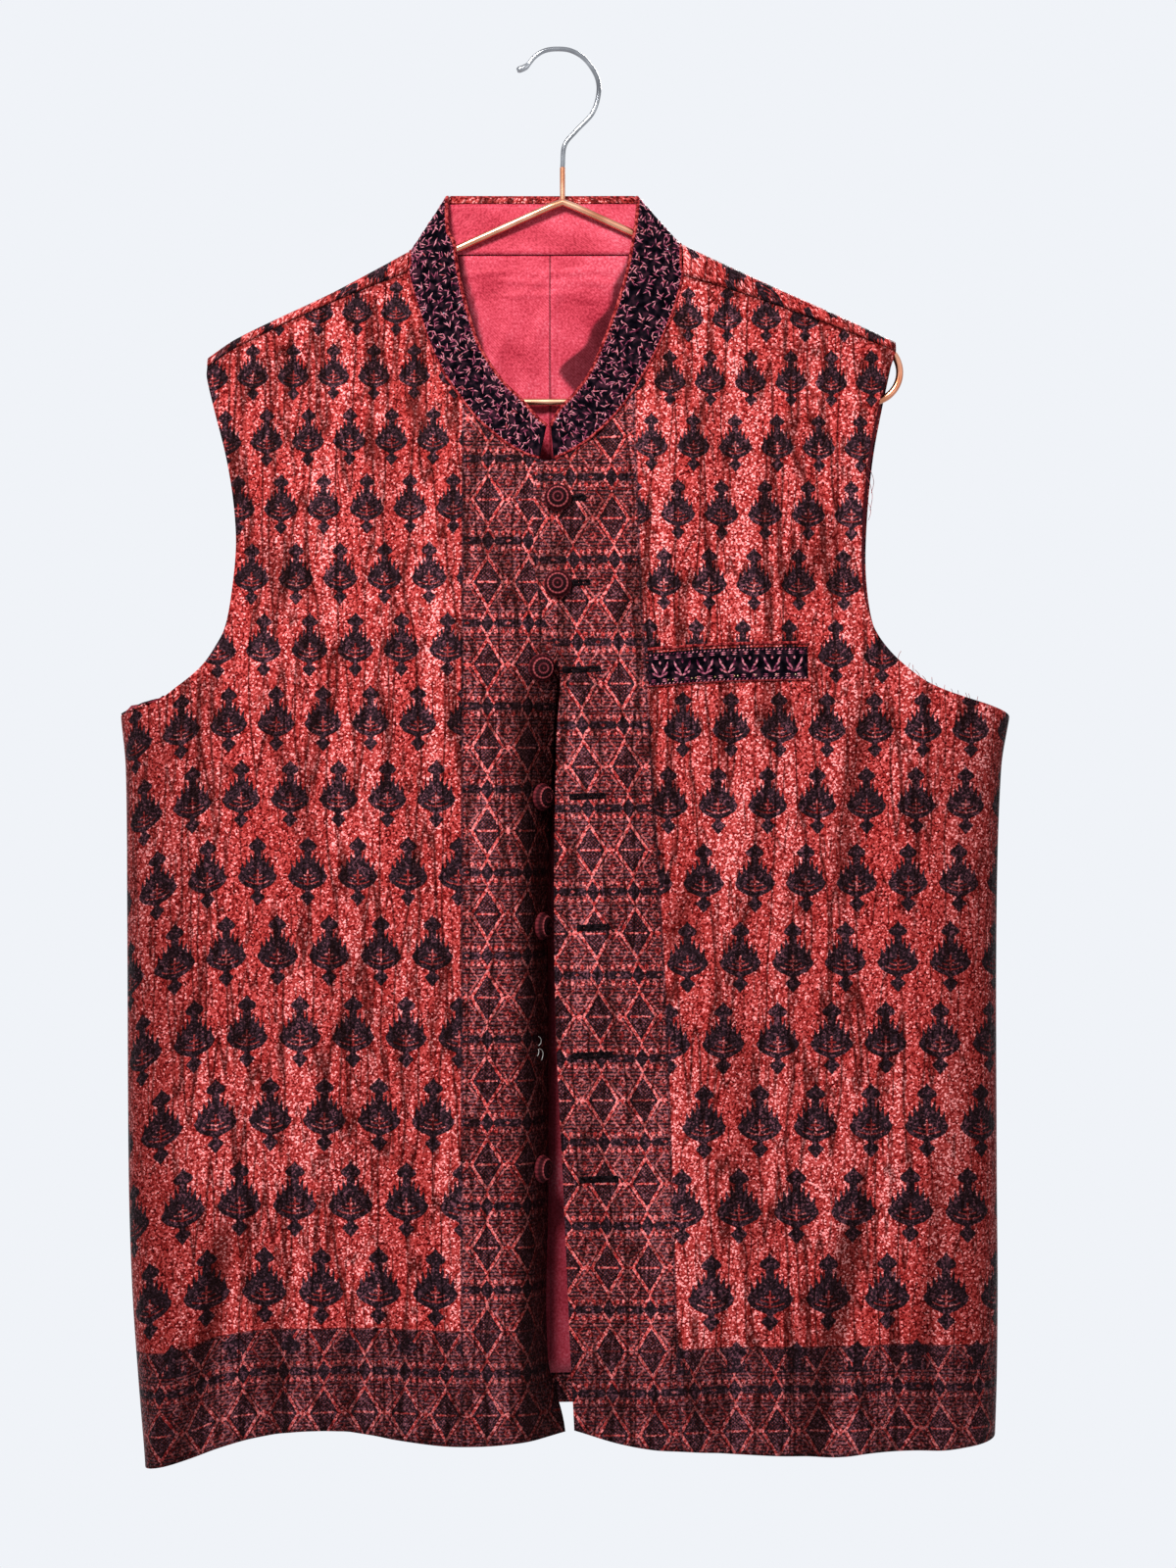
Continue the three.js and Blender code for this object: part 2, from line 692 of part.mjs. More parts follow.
function weltSolid() {
  const columns = spread([WELT.left, WELT.right, WELT_COLUMNS]);
  const grid = [0, 0.5, 1].map((t) =>
    columns.map((x) => {
      const s = (x - WELT.left) / (WELT.right - WELT.left);
      return [x, mix(WELT.low, WELT.high, t) + WELT.rise * s + WELT.bow * Math.sin(Math.PI * s)];
    }),
  );
  return layCloth(grid, leftFront, 1, WELT_WALL, WELT_WALL + GAP);
}

// A domed button that stands on a surface, a little off the cloth.
function buttonSolid(surface, flat, z) {
  const { radius, height } = BUTTON;
  const profile = [
    [0, 0],
    [radius * 0.86, 0],
    [radius, height * 0.2],
    [radius * 0.96, height * 0.48],
    [radius * 0.7, height * 0.82],
    [radius * 0.36, height * 0.96],
    [0, height],
  ].map(([r, h]) => new THREE.Vector2(r, h));
  const geometry = new THREE.LatheGeometry(profile, BUTTON.sides);
  const normal = normalOf(surface, flat, z, BUTTON.seatStep);
  const seat = surface(flat, z).addScaledVector(normal, BUTTON.lift);
  const turn = new THREE.Quaternion().setFromUnitVectors(new THREE.Vector3(0, 1, 0), normal);
  return geometry.applyQuaternion(turn).translate(seat.x, seat.y, seat.z);
}

// ---- hanger --------------------------------------------------------------------------------

// Round wire along points in the plane of the hanger; radius is a number or one per point.
function wireSolid(path, radius, closed) {
  const { sides } = WIRE;
  const count = path.length;
  const positions = [];
  path.forEach(([x, z], k) => {
    const a = path[closed ? (k + count - 1) % count : Math.max(k - 1, 0)];
    const b = path[closed ? (k + 1) % count : Math.min(k + 1, count - 1)];
    const along = new THREE.Vector2(b[0] - a[0], b[1] - a[1]).normalize();
    const r = Array.isArray(radius) ? radius[k] : radius;
    for (let m = 0; m < sides; m++) {
      const angle = (m / sides) * 2 * Math.PI;
      const out = r * Math.cos(angle);
      positions.push(x + along.y * out, r * Math.sin(angle), z - along.x * out);
    }
  });
  const faces = [];
  const spans = closed ? count : count - 1;
  for (let k = 0; k < spans; k++)
    for (let m = 0; m < sides; m++) {
      const [a, b] = [k * sides + m, k * sides + ((m + 1) % sides)];
      const [c, d] = [a, b].map((v) => (v + sides) % (count * sides));
      faces.push(a, b, d, a, d, c);
    }
  if (!closed)
    for (let m = 1; m < sides - 1; m++) {
      const end = (count - 1) * sides;
      faces.push(0, m + 1, m, end, end + m, end + m + 1);
    }
  return new THREE.BufferGeometry()
    .setAttribute("position", new THREE.Float32BufferAttribute(positions, 3))
    .setIndex(faces);
}

// Half of the frame, from the apex down the arm and round the end to the bar.
function halfFrame(side) {
  const { middle, apex, slope, bar, halfWidth, loop } = HANGER;
  const lean = Math.atan(slope);
  const centre = [middle + side * (halfWidth - loop), bar + loop];
  const points = [];
  for (let k = 1; k <= FRAME_SPANS.arm; k++) {
    const reach = (k / FRAME_SPANS.arm) * (halfWidth - loop + loop * Math.sin(lean));
    points.push([middle + side * reach, apex - slope * reach]);
  }
  for (let k = 1; k <= FRAME_SPANS.loop; k++) {
    const angle = mix(Math.PI / 2 - lean, -Math.PI / 2, k / FRAME_SPANS.loop);
    points.push([centre[0] + side * loop * Math.cos(angle), centre[1] + loop * Math.sin(angle)]);
  }
  for (let k = 1; k <= FRAME_SPANS.bar; k++)
    points.push([mix(centre[0], middle, k / (FRAME_SPANS.bar + 1)), bar]);
  return points;
}

function frameSolid(wasm) {
  const { middle, apex, bar } = HANGER;
  const path = [
    [middle, apex - APEX_ROUNDING],
    ...halfFrame(1),
    [middle, bar],
    ...halfFrame(-1).reverse(),
  ];
  const loop = toManifold(wasm, wireSolid(path, WIRE.frame, true));
  const stemPath = STEM_HEIGHTS.map((z) => [middle, z]);
  const stem = toManifold(wasm, wireSolid(stemPath, WIRE.stem, false));
  return fromManifold(loop.add(stem));
}

function hookSolid() {
  const curve = new THREE.CatmullRomCurve3(HOOK.map((p) => new THREE.Vector3(p.x, 0, p.z)));
  const path = Array.from({ length: HOOK_SPANS + 1 }, (_, k) => {
    const p = curve.getPointAt(k / HOOK_SPANS);
    return [p.x, p.z];
  });
  const tip = path.length - HOOK_TIP.length;
  const radii = path.map((_, k) => WIRE.hook * (k < tip ? 1 : HOOK_TIP[k - tip]));
  return wireSolid(path, radii, false);
}

function toManifold(wasm, geometry) {
  const mesh = new wasm.Mesh({
    numProp: 3,
    vertProperties: new Float32Array(geometry.attributes.position.array),
    triVerts: new Uint32Array(geometry.index.array),
  });
  return new wasm.Manifold(mesh);
}

function fromManifold(solid) {
  const mesh = solid.getMesh();
  return new THREE.BufferGeometry()
    .setAttribute("position", new THREE.BufferAttribute(new Float32Array(mesh.vertProperties), 3))
    .setIndex(new THREE.BufferAttribute(new Uint32Array(mesh.triVerts), 1));
}

// ---- assembly ------------------------------------------------------------------------------

const wasm = await Module();
wasm.setup();

const root = new THREE.Group();
root.name = "waistcoat";

function add(name, geometry, colour, metalness = 0, roughness = 0.8) {
  const material = new THREE.MeshStandardMaterial({ color: colour, metalness, roughness });
  const mesh = new THREE.Mesh(geometry, material);
  mesh.name = name;
  root.add(mesh);
}

add("right_front", layCloth(rightFrontGrid(), rightFront, 1, CLOTH_WALL), COLOURS.brocade);
add("left_front", layCloth(leftFrontGrid(), leftFront, 1, CLOTH_WALL), COLOURS.brocade);
const backCloth = backGrid();
add("back", backSolid(backCloth), COLOURS.brocade);
add("back_lining", backLiningSolid(backCloth), COLOURS.lining, 0, 0.5);

const edges = collarEdges();
const collarBand = bandSolid(edges, 0, 1, COLLAR_ROWS.band, 0, COLLAR_WALL);
add("collar", collarBand, COLOURS.collar);
const { from, to } = COLLAR_LINING;
const insideBand = -COLLAR_WALL - GAP;
const collarLining = bandSolid(edges, from, to, COLLAR_ROWS.lining, insideBand, LINING_WALL);
add("collar_lining", collarLining, COLOURS.lining, 0, 0.5);
add("pocket_welt", weltSolid(), COLOURS.collar);

for (const [name, z] of Object.entries(BUTTONED.heights))
  add(name, buttonSolid(leftFront, BUTTONED.x, z), COLOURS.button);
for (const [name, z] of Object.entries(LOOSE_HEIGHTS))
  add(name, buttonSolid(rightFront, rightFrontEdge(z) - BUTTON.fromEdge, z), COLOURS.button);

add("hanger_frame", frameSolid(wasm), COLOURS.copper, 1, 0.3);
add("hanger_hook", hookSolid(), COLOURS.chrome, 1, 0.15);

export default root;
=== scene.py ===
# %% [markdown]
# # A brocade waistcoat on a wire hanger
#
# The waistcoat hangs flat from a bent wire hanger. Two buttons close it at the neck, and below them the
# fronts part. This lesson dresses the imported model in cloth, satin, embroidery and wire, piece by piece.
# The frame comes first: every piece is made in its place, in metres.

# %% The frame
import math

import bmesh
import bpy
import numpy as np
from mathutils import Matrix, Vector


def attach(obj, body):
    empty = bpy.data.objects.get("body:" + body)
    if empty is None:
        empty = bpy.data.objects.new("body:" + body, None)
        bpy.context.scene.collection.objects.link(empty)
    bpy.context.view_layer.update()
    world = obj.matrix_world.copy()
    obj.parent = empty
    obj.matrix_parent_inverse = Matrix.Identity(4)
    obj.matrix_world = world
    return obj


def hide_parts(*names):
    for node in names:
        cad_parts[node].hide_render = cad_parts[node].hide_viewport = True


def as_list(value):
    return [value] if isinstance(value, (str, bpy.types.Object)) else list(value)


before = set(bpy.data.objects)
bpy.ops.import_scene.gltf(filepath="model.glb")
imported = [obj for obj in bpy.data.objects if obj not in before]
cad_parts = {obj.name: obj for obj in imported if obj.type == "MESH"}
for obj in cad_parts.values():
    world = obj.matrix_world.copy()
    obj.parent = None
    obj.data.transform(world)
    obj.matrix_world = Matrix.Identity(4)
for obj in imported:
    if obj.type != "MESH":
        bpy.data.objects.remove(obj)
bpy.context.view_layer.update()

print("nodes:", len(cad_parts))

# %% [markdown]
# ## Measures
#
# A tailor marks a garment by heights and widths. Each table below is such a list, in millimetres, and a
# curve through its rows gives every place in between. The heights count down from the top of the hook.

# %% Reading a table
MM = 0.001


def smooth(table, place):
    rows = np.array(sorted(table), float)
    keys, values = rows[:, 0], rows[:, 1:]
    at = np.clip(np.asarray(place, float), keys[0], keys[-1])
    last = len(keys) - 1
    i = np.clip(np.searchsorted(keys, at, side="left") - 1, 0, last - 1)
    before, after = np.maximum(np.arange(last + 1) - 1, 0), np.minimum(np.arange(last + 1) + 1, last)
    slope = (values[after] - values[before]) / (keys[after] - keys[before])[:, None]
    width = (keys[i + 1] - keys[i])[..., None]
    t = (at[..., None] - keys[i][..., None]) / width
    found = (
        values[i] * (2 * t**3 - 3 * t**2 + 1)
        + slope[i] * width * (t**3 - 2 * t**2 + t)
        + values[i + 1] * (3 * t**2 - 2 * t**3)
        + slope[i + 1] * width * (t**3 - t**2)
    )
    return found[..., 0] if values.shape[1] == 1 else found


def ease(t):
    c = np.clip(t, 0, 1)
    return c * c * (3 - 2 * c)


def mix(a, b, t):
    return a + (b - a) * t


# %% Shoulders, sides and depths
CLOTH_WALL, LINING_WALL, COLLAR_WALL, WELT_WALL, GAP = 1.5, 1.0, 2.0, 1.4, 0.4
FOLD_RADIUS, SEAM_DEPTH, UNDERARM = 6, -4, -419
SHOULDER_LEFT = [(-218, -192.5, 6.5), (-200, -180.3, 6.5), (-139, -151, 7), (-92.5, -126, 13.5)]
SHOULDER_RIGHT = [(80, -121.5, 20), (125, -142.5, 13), (180, -167.2, 8.5), (213, -182.5, 6.5)]
SIDE_LEFT = [(-890, 256), (-830, 261), (-770, 265), (-700, 267), (-540, 268), (-450, 269), (-419, 272)]
SIDE_RIGHT = [(-890, 274), (-830, 276), (-770, 276.5), (-700, 276), (-540, 276), (-450, 279), (-419, 284)]
FRONT_DEPTHS = [
    (-890, -40, -27), (-750, -38, -27), (-600, -36, -25), (-420, -33, -20),
    (-340, -30, -14), (-260, -24, -10), (-200, -14, -8), (-140, -7, -7),
]
FRONT_ROLL, BACK_ROLL = (18, 30), (14, 22)
CURL_FLAT, CURL_BEND, CURL_CLOTH, CURL_ANGLE = 19, 12, 31, 1.08
OVER = [(-890, 12), (-860, 12), (-820, 10), (-706, 5), (-610, 0.5), (-520, -0.5), (-430, 1), (-388, 2.5),
        (-338, -11.5), (-262, -13.5)]
HINGE = [(-890, -41, 0.4), (-860, -41, 0.45), (-820, -42, 1), (-706, -42, 1), (-610, -42, 1), (-520, -42, 1),
         (-430, -45, 0.6), (-388, -46.5, 0.25), (-338, -36, 0), (-262, -36, 0)]
FOLDS = {
    "right_front": [(-226, -560, 15, 4), (-190, -640, 15, -3), (-157, -760, 15, 7), (-108, -480, 20, -2.5),
                    (-66, -560, 16, 2)],
    "left_front": [(52, -520, 18, 2), (112, -560, 20, -2.5), (168, -660, 15, 5), (210, -560, 16, -3),
                   (238, -470, 14, 2.5)],
    "back": [(-200, -520, 20, -3), (-110, -420, 24, 3), (-20, -560, 22, -2), (70, -480, 24, 3),
             (160, -540, 22, -3), (226, -600, 18, 2)],
}


def shoulder(x):
    left, right = smooth(SHOULDER_LEFT, x), smooth(SHOULDER_RIGHT, x)
    chosen = np.where((np.asarray(x) < 0)[..., None], left, right)
    return chosen[..., 0], chosen[..., 1]


def folds_at(piece, x, z):
    depth = 0
    for place, start, half, deep in FOLDS[piece]:
        depth = depth + deep * ease((start - z) / 260) * np.exp(-(((x - place) / half) ** 2))
    return depth


print("shoulder fold at 150 mm:", round(float(shoulder(150.0)[0]), 1))

# %% [markdown]
# ## The shapes the cloth hangs in
#
# Each piece is cut flat and then takes a shape on the hanger. A function turns a place on the flat cut
# into a place in the room: the fronts stand out over an empty body, roll round the sides to the seams,
# and the wearer's right front curls in below its buttons. The same measures shaped the solids.

# %% The hung surfaces
def roll_side(u, v, depth, roll):
    reach, cloth = roll
    start = np.where(u < 0, smooth(SIDE_LEFT, v), smooth(SIDE_RIGHT, v)) - reach
    past = np.maximum(np.abs(u) - start, 0)
    angle = past / cloth * math.pi / 2
    x = np.where(past > 0, np.sign(u) * (start + reach * np.sin(angle)), u)
    y = np.where(past > 0, depth + (SEAM_DEPTH - depth) * (1 - np.cos(angle)), depth)
    return np.stack([x, y, v], -1)


def side_flat(side, z, roll):
    return side * (smooth(SIDE_LEFT if side < 0 else SIDE_RIGHT, z) - roll[0] + roll[1] - GAP / 2)


def front_depth(x, z, piece):
    fold, drop = shoulder(np.where(np.abs(x) < 80, np.sign(x) * 93, x))
    depths = smooth(FRONT_DEPTHS, z)
    full = mix(depths[..., 0], depths[..., 1], ease(np.abs(x - 5) / 235))
    below = ease((fold - drop - z) / 115)
    return -FOLD_RADIUS + (full + FOLD_RADIUS) * below - folds_at(piece, x, z)


def left_front(u, v):
    return roll_side(u, v, front_depth(u, v, "left_front"), FRONT_ROLL)


def right_front(u, v):
    hinge, curl = np.moveaxis(smooth(HINGE, v), -1, 0)
    hinge = hinge + CURL_FLAT
    turn = np.maximum(curl, 0) * CURL_ANGLE
    under = 2 * ease((u + 48) / 30)
    depth = front_depth(np.minimum(u, hinge), v, "right_front") + under
    plain = roll_side(u, v, depth, FRONT_ROLL)
    past = np.maximum(u - hinge, 0)
    radius = CURL_BEND / np.maximum(turn, 0.02)
    turned = np.minimum(past, CURL_BEND) / radius
    straight = np.maximum(past - CURL_BEND, 0)
    x = hinge + radius * np.sin(turned) + straight * np.cos(turned)
    y = depth + radius * (1 - np.cos(turned)) + straight * np.sin(turned)
    curled = np.stack([x, y, v], -1)
    return np.where(((past > 0) & (turn >= 0.02))[..., None], curled, plain)


NECK_LEFT, NECK_RIGHT = -92.5, 80


def back(u, v):
    fold, _ = shoulder(u)
    neck = (u > NECK_LEFT + 0.01) & (u < NECK_RIGHT - 0.01)
    centre = fold - FOLD_RADIUS
    below = ease((-130 - v) / 160)
    hung = roll_side(u, v, FOLD_RADIUS + (4 + folds_at("back", u, v)) * below, BACK_ROLL)
    over = np.maximum(v - centre, 0)
    angle = np.minimum(over / FOLD_RADIUS, math.pi)
    down = np.maximum(over - math.pi * FOLD_RADIUS, 0)
    folded = np.stack([u, FOLD_RADIUS * np.cos(angle), centre + FOLD_RADIUS * np.sin(angle) - down], -1)
    return np.where((neck | (v <= centre))[..., None], hung, folded)


print("left front at the breast stands out", round(-float(left_front(np.array(100.0), np.array(-400.0))[1]), 1))

# %% [markdown]
# ## The cuts
#
# A pattern piece is bounded by four edges: hem, shoulder, front edge and side. Blending the four edges
# fills the piece with an even net of lines that follow them all, as a draughtsman fairs a hull.

# %% Edges of the cuts
HEMS = {
    "right_front": [(-300, -886), (-270, -886), (-240, -881), (-208, -870), (-160, -859), (-130, -859),
                    (-84, -865), (-38, -866), (10, -860)],
    "left_front": [(12, -856), (39, -864), (70, -869), (146, -874), (240, -871), (270, -867), (300, -864)],
    "back": [(-290, -885), (-240, -872), (-150, -857), (0, -850), (150, -853), (240, -859), (300, -863)],
}
ARMHOLES = {
    "right_front": [(-252, -411), (-234, -399), (-220, -387), (-211, -374), (-205, -361), (-201, -337),
                    (-199, -310), (-201, -283), (-206, -255), (-213, -228), (-218, -207)],
    "left_front": [(270, -411), (236, -399), (217, -386), (204.5, -373), (197, -360), (192, -342),
                   (190.5, -318), (192, -285), (196, -252), (203, -220)],
    "back_left": [(-252, -409), (-226, -391), (-211, -372), (-204, -345), (-201, -310), (-204, -265),
                  (-212, -230)],
    "back_right": [(268, -411), (234, -400), (217, -387), (206.5, -374), (200.5, -360), (197, -342),
                   (195.5, -318), (197, -285), (200.5, -252), (206, -222)],
}
NECKS = {
    "right_front": [(14, -262), (-10, -258.5), (-20, -255), (-33, -247), (-49, -233), (-61.5, -216.5),
                    (-71, -202), (-79, -185), (-85, -167), (-89.5, -152), (-92.5, -139.9)],
    "left_front": [(-13.5, -262), (-1, -259), (10.5, -253.5), (24, -244), (40.5, -227), (54, -206.5),
                   (64, -188), (73, -167), (77.5, -153), (80, -141.9)],
}
BACK_NECK = -127.5


def through(points, place):
    return smooth([(k, *p) for k, p in enumerate(points)], place)


def evenly(points, shares):
    line = through(points, np.linspace(0, len(points) - 1, 60 * len(points)))
    run = np.concatenate([[0], np.cumsum(np.linalg.norm(np.diff(line, axis=0), axis=1))])
    return np.stack([np.interp(shares * run[-1], run, line[:, k]) for k in (0, 1)], -1)


def back_top(x):
    fold, _ = shoulder(x)
    inset = np.minimum(x - NECK_LEFT, NECK_RIGHT - x)
    edge = np.where(x < 0, shoulder(NECK_LEFT)[0], shoulder(NECK_RIGHT)[0]) - FOLD_RADIUS
    return np.where(inset > 0, mix(edge, BACK_NECK, ease(inset / 22)), fold - FOLD_RADIUS)


SHARES = np.linspace(0, 1, 1401)


def side_edge(side, hem, roll, armhole, end, split):
    z = mix(hem, UNDERARM, np.clip(SHARES / split, 0, 1))
    low = np.stack([side_flat(side, z, roll), z], -1)
    start = (float(side_flat(side, UNDERARM, roll)), UNDERARM)
    high = evenly([start, *armhole, end], np.clip((SHARES - split) / (1 - split), 0, 1))
    return np.where((SHARES <= split)[:, None], low, high)


def patch(first, last, hem, top_at):
    x_low, x_high = mix(first[0, 0], last[0, 0], SHARES), mix(first[-1, 0], last[-1, 0], SHARES)
    low = np.stack([x_low, smooth(hem, x_low)], -1)
    high = np.stack([x_high, top_at(x_high)], -1)

    def at(line, share):
        return np.stack([np.interp(share, SHARES, line[:, k]) for k in (0, 1)], -1)

    def flat(s, t):
        a, b = s[..., None], t[..., None]
        straight = mix(at(first, t), at(last, t), a)
        below = at(low, s) - mix(first[0], last[0], a)
        above = at(high, s) - mix(first[-1], last[-1], a)
        return straight + (1 - b) * below + b * above

    return flat


def front_patch(name, side, edge_at):
    neck, hem = NECKS[name], HEMS[name]
    rows = 13 + len(neck) - 1
    low_x = float(edge_at(np.array(float(hem[-1 if side < 0 else 0][1]))))
    place = SHARES * rows
    z = mix(float(smooth(hem, low_x)), neck[0][1], np.clip(place / 13, 0, 1))
    below = np.stack([edge_at(z), z], -1)
    first = np.where((place <= 13)[:, None], below, through(neck, np.clip(place - 13, 0, None)))
    tip = SHOULDER_LEFT[0] if side < 0 else SHOULDER_RIGHT[-1]
    end = (tip[0], tip[1] - tip[2] - GAP)
    hem_side = float(smooth(hem, side * 285))
    last = side_edge(side, hem_side, FRONT_ROLL, ARMHOLES[name], end, 10 / rows)
    return patch(first, last, hem, lambda x: shoulder(x)[0] - shoulder(x)[1] - GAP)


def back_patch():
    tips = SHOULDER_LEFT[0], SHOULDER_RIGHT[-1]
    sides = []
    for side, name, tip in ((-1, "back_left", tips[0]), (1, "back_right", tips[1])):
        hem_side = float(smooth(HEMS["back"], side * 280))
        end = (tip[0], tip[1] - FOLD_RADIUS)
        sides.append(side_edge(side, hem_side, BACK_ROLL, ARMHOLES[name], end, 10 / 19))
    return patch(sides[0], sides[1], HEMS["back"], back_top)


CUTS = {
    "left_front": front_patch("left_front", 1, lambda z: smooth(OVER, z)),
    "right_front": front_patch("right_front", -1, lambda z: smooth(HINGE, z)[..., 0] + CURL_FLAT + CURL_CLOTH),
    "back": back_patch(),
}
print("cut of the left front, hem corner:", CUTS["left_front"](np.array([0.0]), np.array([0.0])).round(1))

# %% [markdown]
# ## Laying a cut on its shape
#
# bmesh makes an even grid, and each of its points is moved to where the cloth hangs. The flat cut is
# kept as a UV map in metres, so threads and motifs follow the cloth and not the room. Solidify then
# gives the cloth its wall, on the inside.

# %% Cloth from a grid
def normals_of(points):
    across, up = np.gradient(points, axis=1), np.gradient(points, axis=0)
    normal = np.cross(across, up)
    return normal / np.maximum(np.linalg.norm(normal, axis=-1, keepdims=True), 1e-9)


def set_uv(mesh, name, values):
    layer = mesh.uv_layers.new(name=name)
    layer.uv.foreach_set("vector", values.astype(np.float32).ravel())


def net_mesh(name, points, flat, facing, drop=None):
    """A mesh from a net of points in mm; facing is the way its outside looks, and drop a test of cells."""
    rows, columns = points.shape[:2]
    bm = bmesh.new()
    bmesh.ops.create_grid(bm, x_segments=columns - 1, y_segments=rows - 1, size=0.5)
    place = np.array([v.co[:2] for v in bm.verts]) + 0.5
    i = np.rint(place[:, 0] * (columns - 1)).astype(int)
    j = np.rint(place[:, 1] * (rows - 1)).astype(int)
    if drop is not None:
        middles = [(f.calc_center_median() + Vector((0.5, 0.5, 0))) for f in bm.faces]
        gone = [f for f, m in zip(bm.faces, middles) if drop(int(m.y * (rows - 1)), int(m.x * (columns - 1)))]
    moved = points[j, i] * MM
    for vertex, co in zip(bm.verts, moved):
        vertex.co = co
    bm.normal_update()
    total = sum((f.normal for f in bm.faces), Vector())
    if total.dot(Vector(facing)) < 0:
        bmesh.ops.reverse_faces(bm, faces=bm.faces[:])
    mesh = bpy.data.meshes.new(name)
    cut = bm.verts.layers.float_vector.new("cut")
    for vertex, spot in zip(bm.verts, flat[j, i] * MM):
        vertex[cut] = (spot[0], spot[1], 0)
    if drop is not None:
        bmesh.ops.delete(bm, geom=gone, context="FACES")
    bm.to_mesh(mesh)
    bm.free()
    corners = np.zeros(len(mesh.loops), np.int32)
    mesh.loops.foreach_get("vertex_index", corners)
    spots = np.zeros(len(mesh.vertices) * 3, np.float32)
    mesh.attributes["cut"].data.foreach_get("vector", spots)
    spots = spots.reshape(-1, 3)[:, :2]
    mesh.attributes.remove(mesh.attributes["cut"])
    set_uv(mesh, "cut", spots[corners])
    mesh.shade_smooth()
    return mesh


def piece(name, mesh, slot, replaced=(), wall=None):
    obj = bpy.data.objects.new(name, mesh)
    bpy.context.scene.collection.objects.link(obj)
    if wall:
        solid = obj.modifiers.new("wall", "SOLIDIFY")
        solid.thickness, solid.offset = wall * MM, -1
    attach(obj, "root")
    if replaced:
        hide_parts(*replaced)
    return obj


def lay(name, cut, surface, columns, rows, lift=0.0, relief=None):
    s, t = np.meshgrid(columns, rows)
    flat = cut(s, t)
    points = surface(flat[..., 0], flat[..., 1])
    normal = normals_of(points)
    if normal[..., 1].mean() * (1 if name.startswith("back") else -1) < 0:
        normal = -normal
    height = lift if relief is None else lift + relief(flat[..., 0], flat[..., 1])
    return points + normal * np.asarray(height)[..., None] * np.ones_like(normal[..., :1]), flat


# %% [markdown]
# ## The fronts
#
# Crushed brocade never hangs flat. Besides the folds that the hem opens into, soft pulls run from the
# shoulders, the armholes and the buttons. Each is one line with its own length, width and depth, and
# fades out at both ends, so no two look alike.

# %% Creases placed
# start x, z, end x, z, half width, depth; a ridge has a depth above 0, a trough below.
CREASES = {
    "right_front": [
        (-196, -700, -232, -880, 9, -3.2), (-216, -740, -252, -885, 8, 2.4), (-178, -770, -172, -862, 7, -2.2),
        (-130, -790, -128, -860, 6, -2.0), (-150, -690, -150, -850, 8, 1.6), (-95, -760, -100, -862, 8, 1.4),
        (-196, -300, -150, -345, 9, -1.6), (-194, -345, -140, -420, 9, 1.2), (-188, -384, -150, -500, 8, -1.4),
        (-66, -250, -28, -330, 8, -1.8), (-74, -230, -46, -300, 7, 1.2), (-160, -470, -190, -640, 10, 1.2),
        (-226, -450, -236, -620, 9, -1.4), (-120, -520, -110, -700, 10, -1.1), (-60, -420, -70, -560, 8, 1.0),
        (-150, -180, -128, -300, 10, 1.0), (-110, -170, -100, -300, 10, -0.9), (-244, -640, -250, -800, 7, 1.2),
    ],
    "left_front": [
        (192, -700, 158, -868, 10, -3.6), (208, -720, 182, -870, 9, 2.6), (240, -640, 226, -868, 9, -2.0),
        (46, -262, -6, -215, 6, -1.6), (52, -262, -14, -330, 8, -2.2), (60, -240, 8, -300, 7, 1.5),
        (186, -290, 150, -340, 9, -1.8), (186, -345, 140, -430, 9, 1.5), (196, -372, 176, -520, 8, -2.0),
        (214, -388, 214, -560, 8, 1.5), (90, -505, 70, -560, 8, -1.8), (64, -430, 36, -560, 8, 1.2),
        (110, -560, 122, -740, 10, -1.3), (60, -700, 64, -868, 9, 1.4), (104, -780, 100, -868, 7, -1.6),
        (150, -200, 140, -330, 10, 1.0), (104, -170, 108, -300, 10, -0.9), (252, -460, 250, -700, 8, -1.2),
        (24, -560, 30, -800, 8, -1.2), (30, -300, 26, -420, 7, 1.2),
    ],
    "back": [
        (-180, -220, -120, -420, 14, 1.6), (-100, -180, -90, -420, 13, -1.4), (170, -220, 120, -430, 14, 1.6),
        (96, -180, 90, -420, 13, -1.3), (-206, -360, -150, -520, 10, -2.0), (200, -360, 150, -500, 10, -1.8),
        (-220, -520, -236, -860, 11, 2.2), (-150, -600, -166, -862, 10, -2.2), (-60, -640, -70, -852, 10, 1.8),
        (20, -560, 24, -850, 11, -1.8), (96, -620, 104, -850, 10, 2.0), (180, -600, 196, -856, 11, -2.4),
        (238, -500, 244, -850, 9, 1.8), (-20, -200, -10, -460, 12, 1.0), (40, -240, 34, -520, 12, -1.0),
    ],
}


def relief_of(name):
    def relief(u, v):
        height = np.zeros_like(u)
        for x0, z0, x1, z1, half, deep in CREASES[name]:
            run = np.hypot(x1 - x0, z1 - z0)
            along = ((u - x0) * (x1 - x0) + (v - z0) * (z1 - z0)) / run**2
            off = ((u - x0) * (z1 - z0) - (v - z0) * (x1 - x0)) / run
            off = off + 0.12 * half * np.sin(v / 17.0 + x0)
            ends = ease(along / 0.35) * ease((1.25 - along) / 0.35)
            height = height + deep * ends * np.exp(-((off / half) ** 2))
        return height * ease((-150 - v) / 60)

    return relief


# %% The two fronts and the back as cloth
def columns_of(*spans):
    return np.concatenate([np.linspace(a, b, n, endpoint=False) for a, b, n in spans] + [[1.0]])


front_rows = np.linspace(0, 1, 226)
left_points, left_flat = lay(
    "left_front", CUTS["left_front"], left_front, columns_of((0, 1, 76)), front_rows,
    relief=relief_of("left_front"))
right_points, right_flat = lay(
    "right_front", CUTS["right_front"], right_front, columns_of((0, 0.11, 12), (0.11, 1, 68)), front_rows,
    relief=relief_of("right_front"))

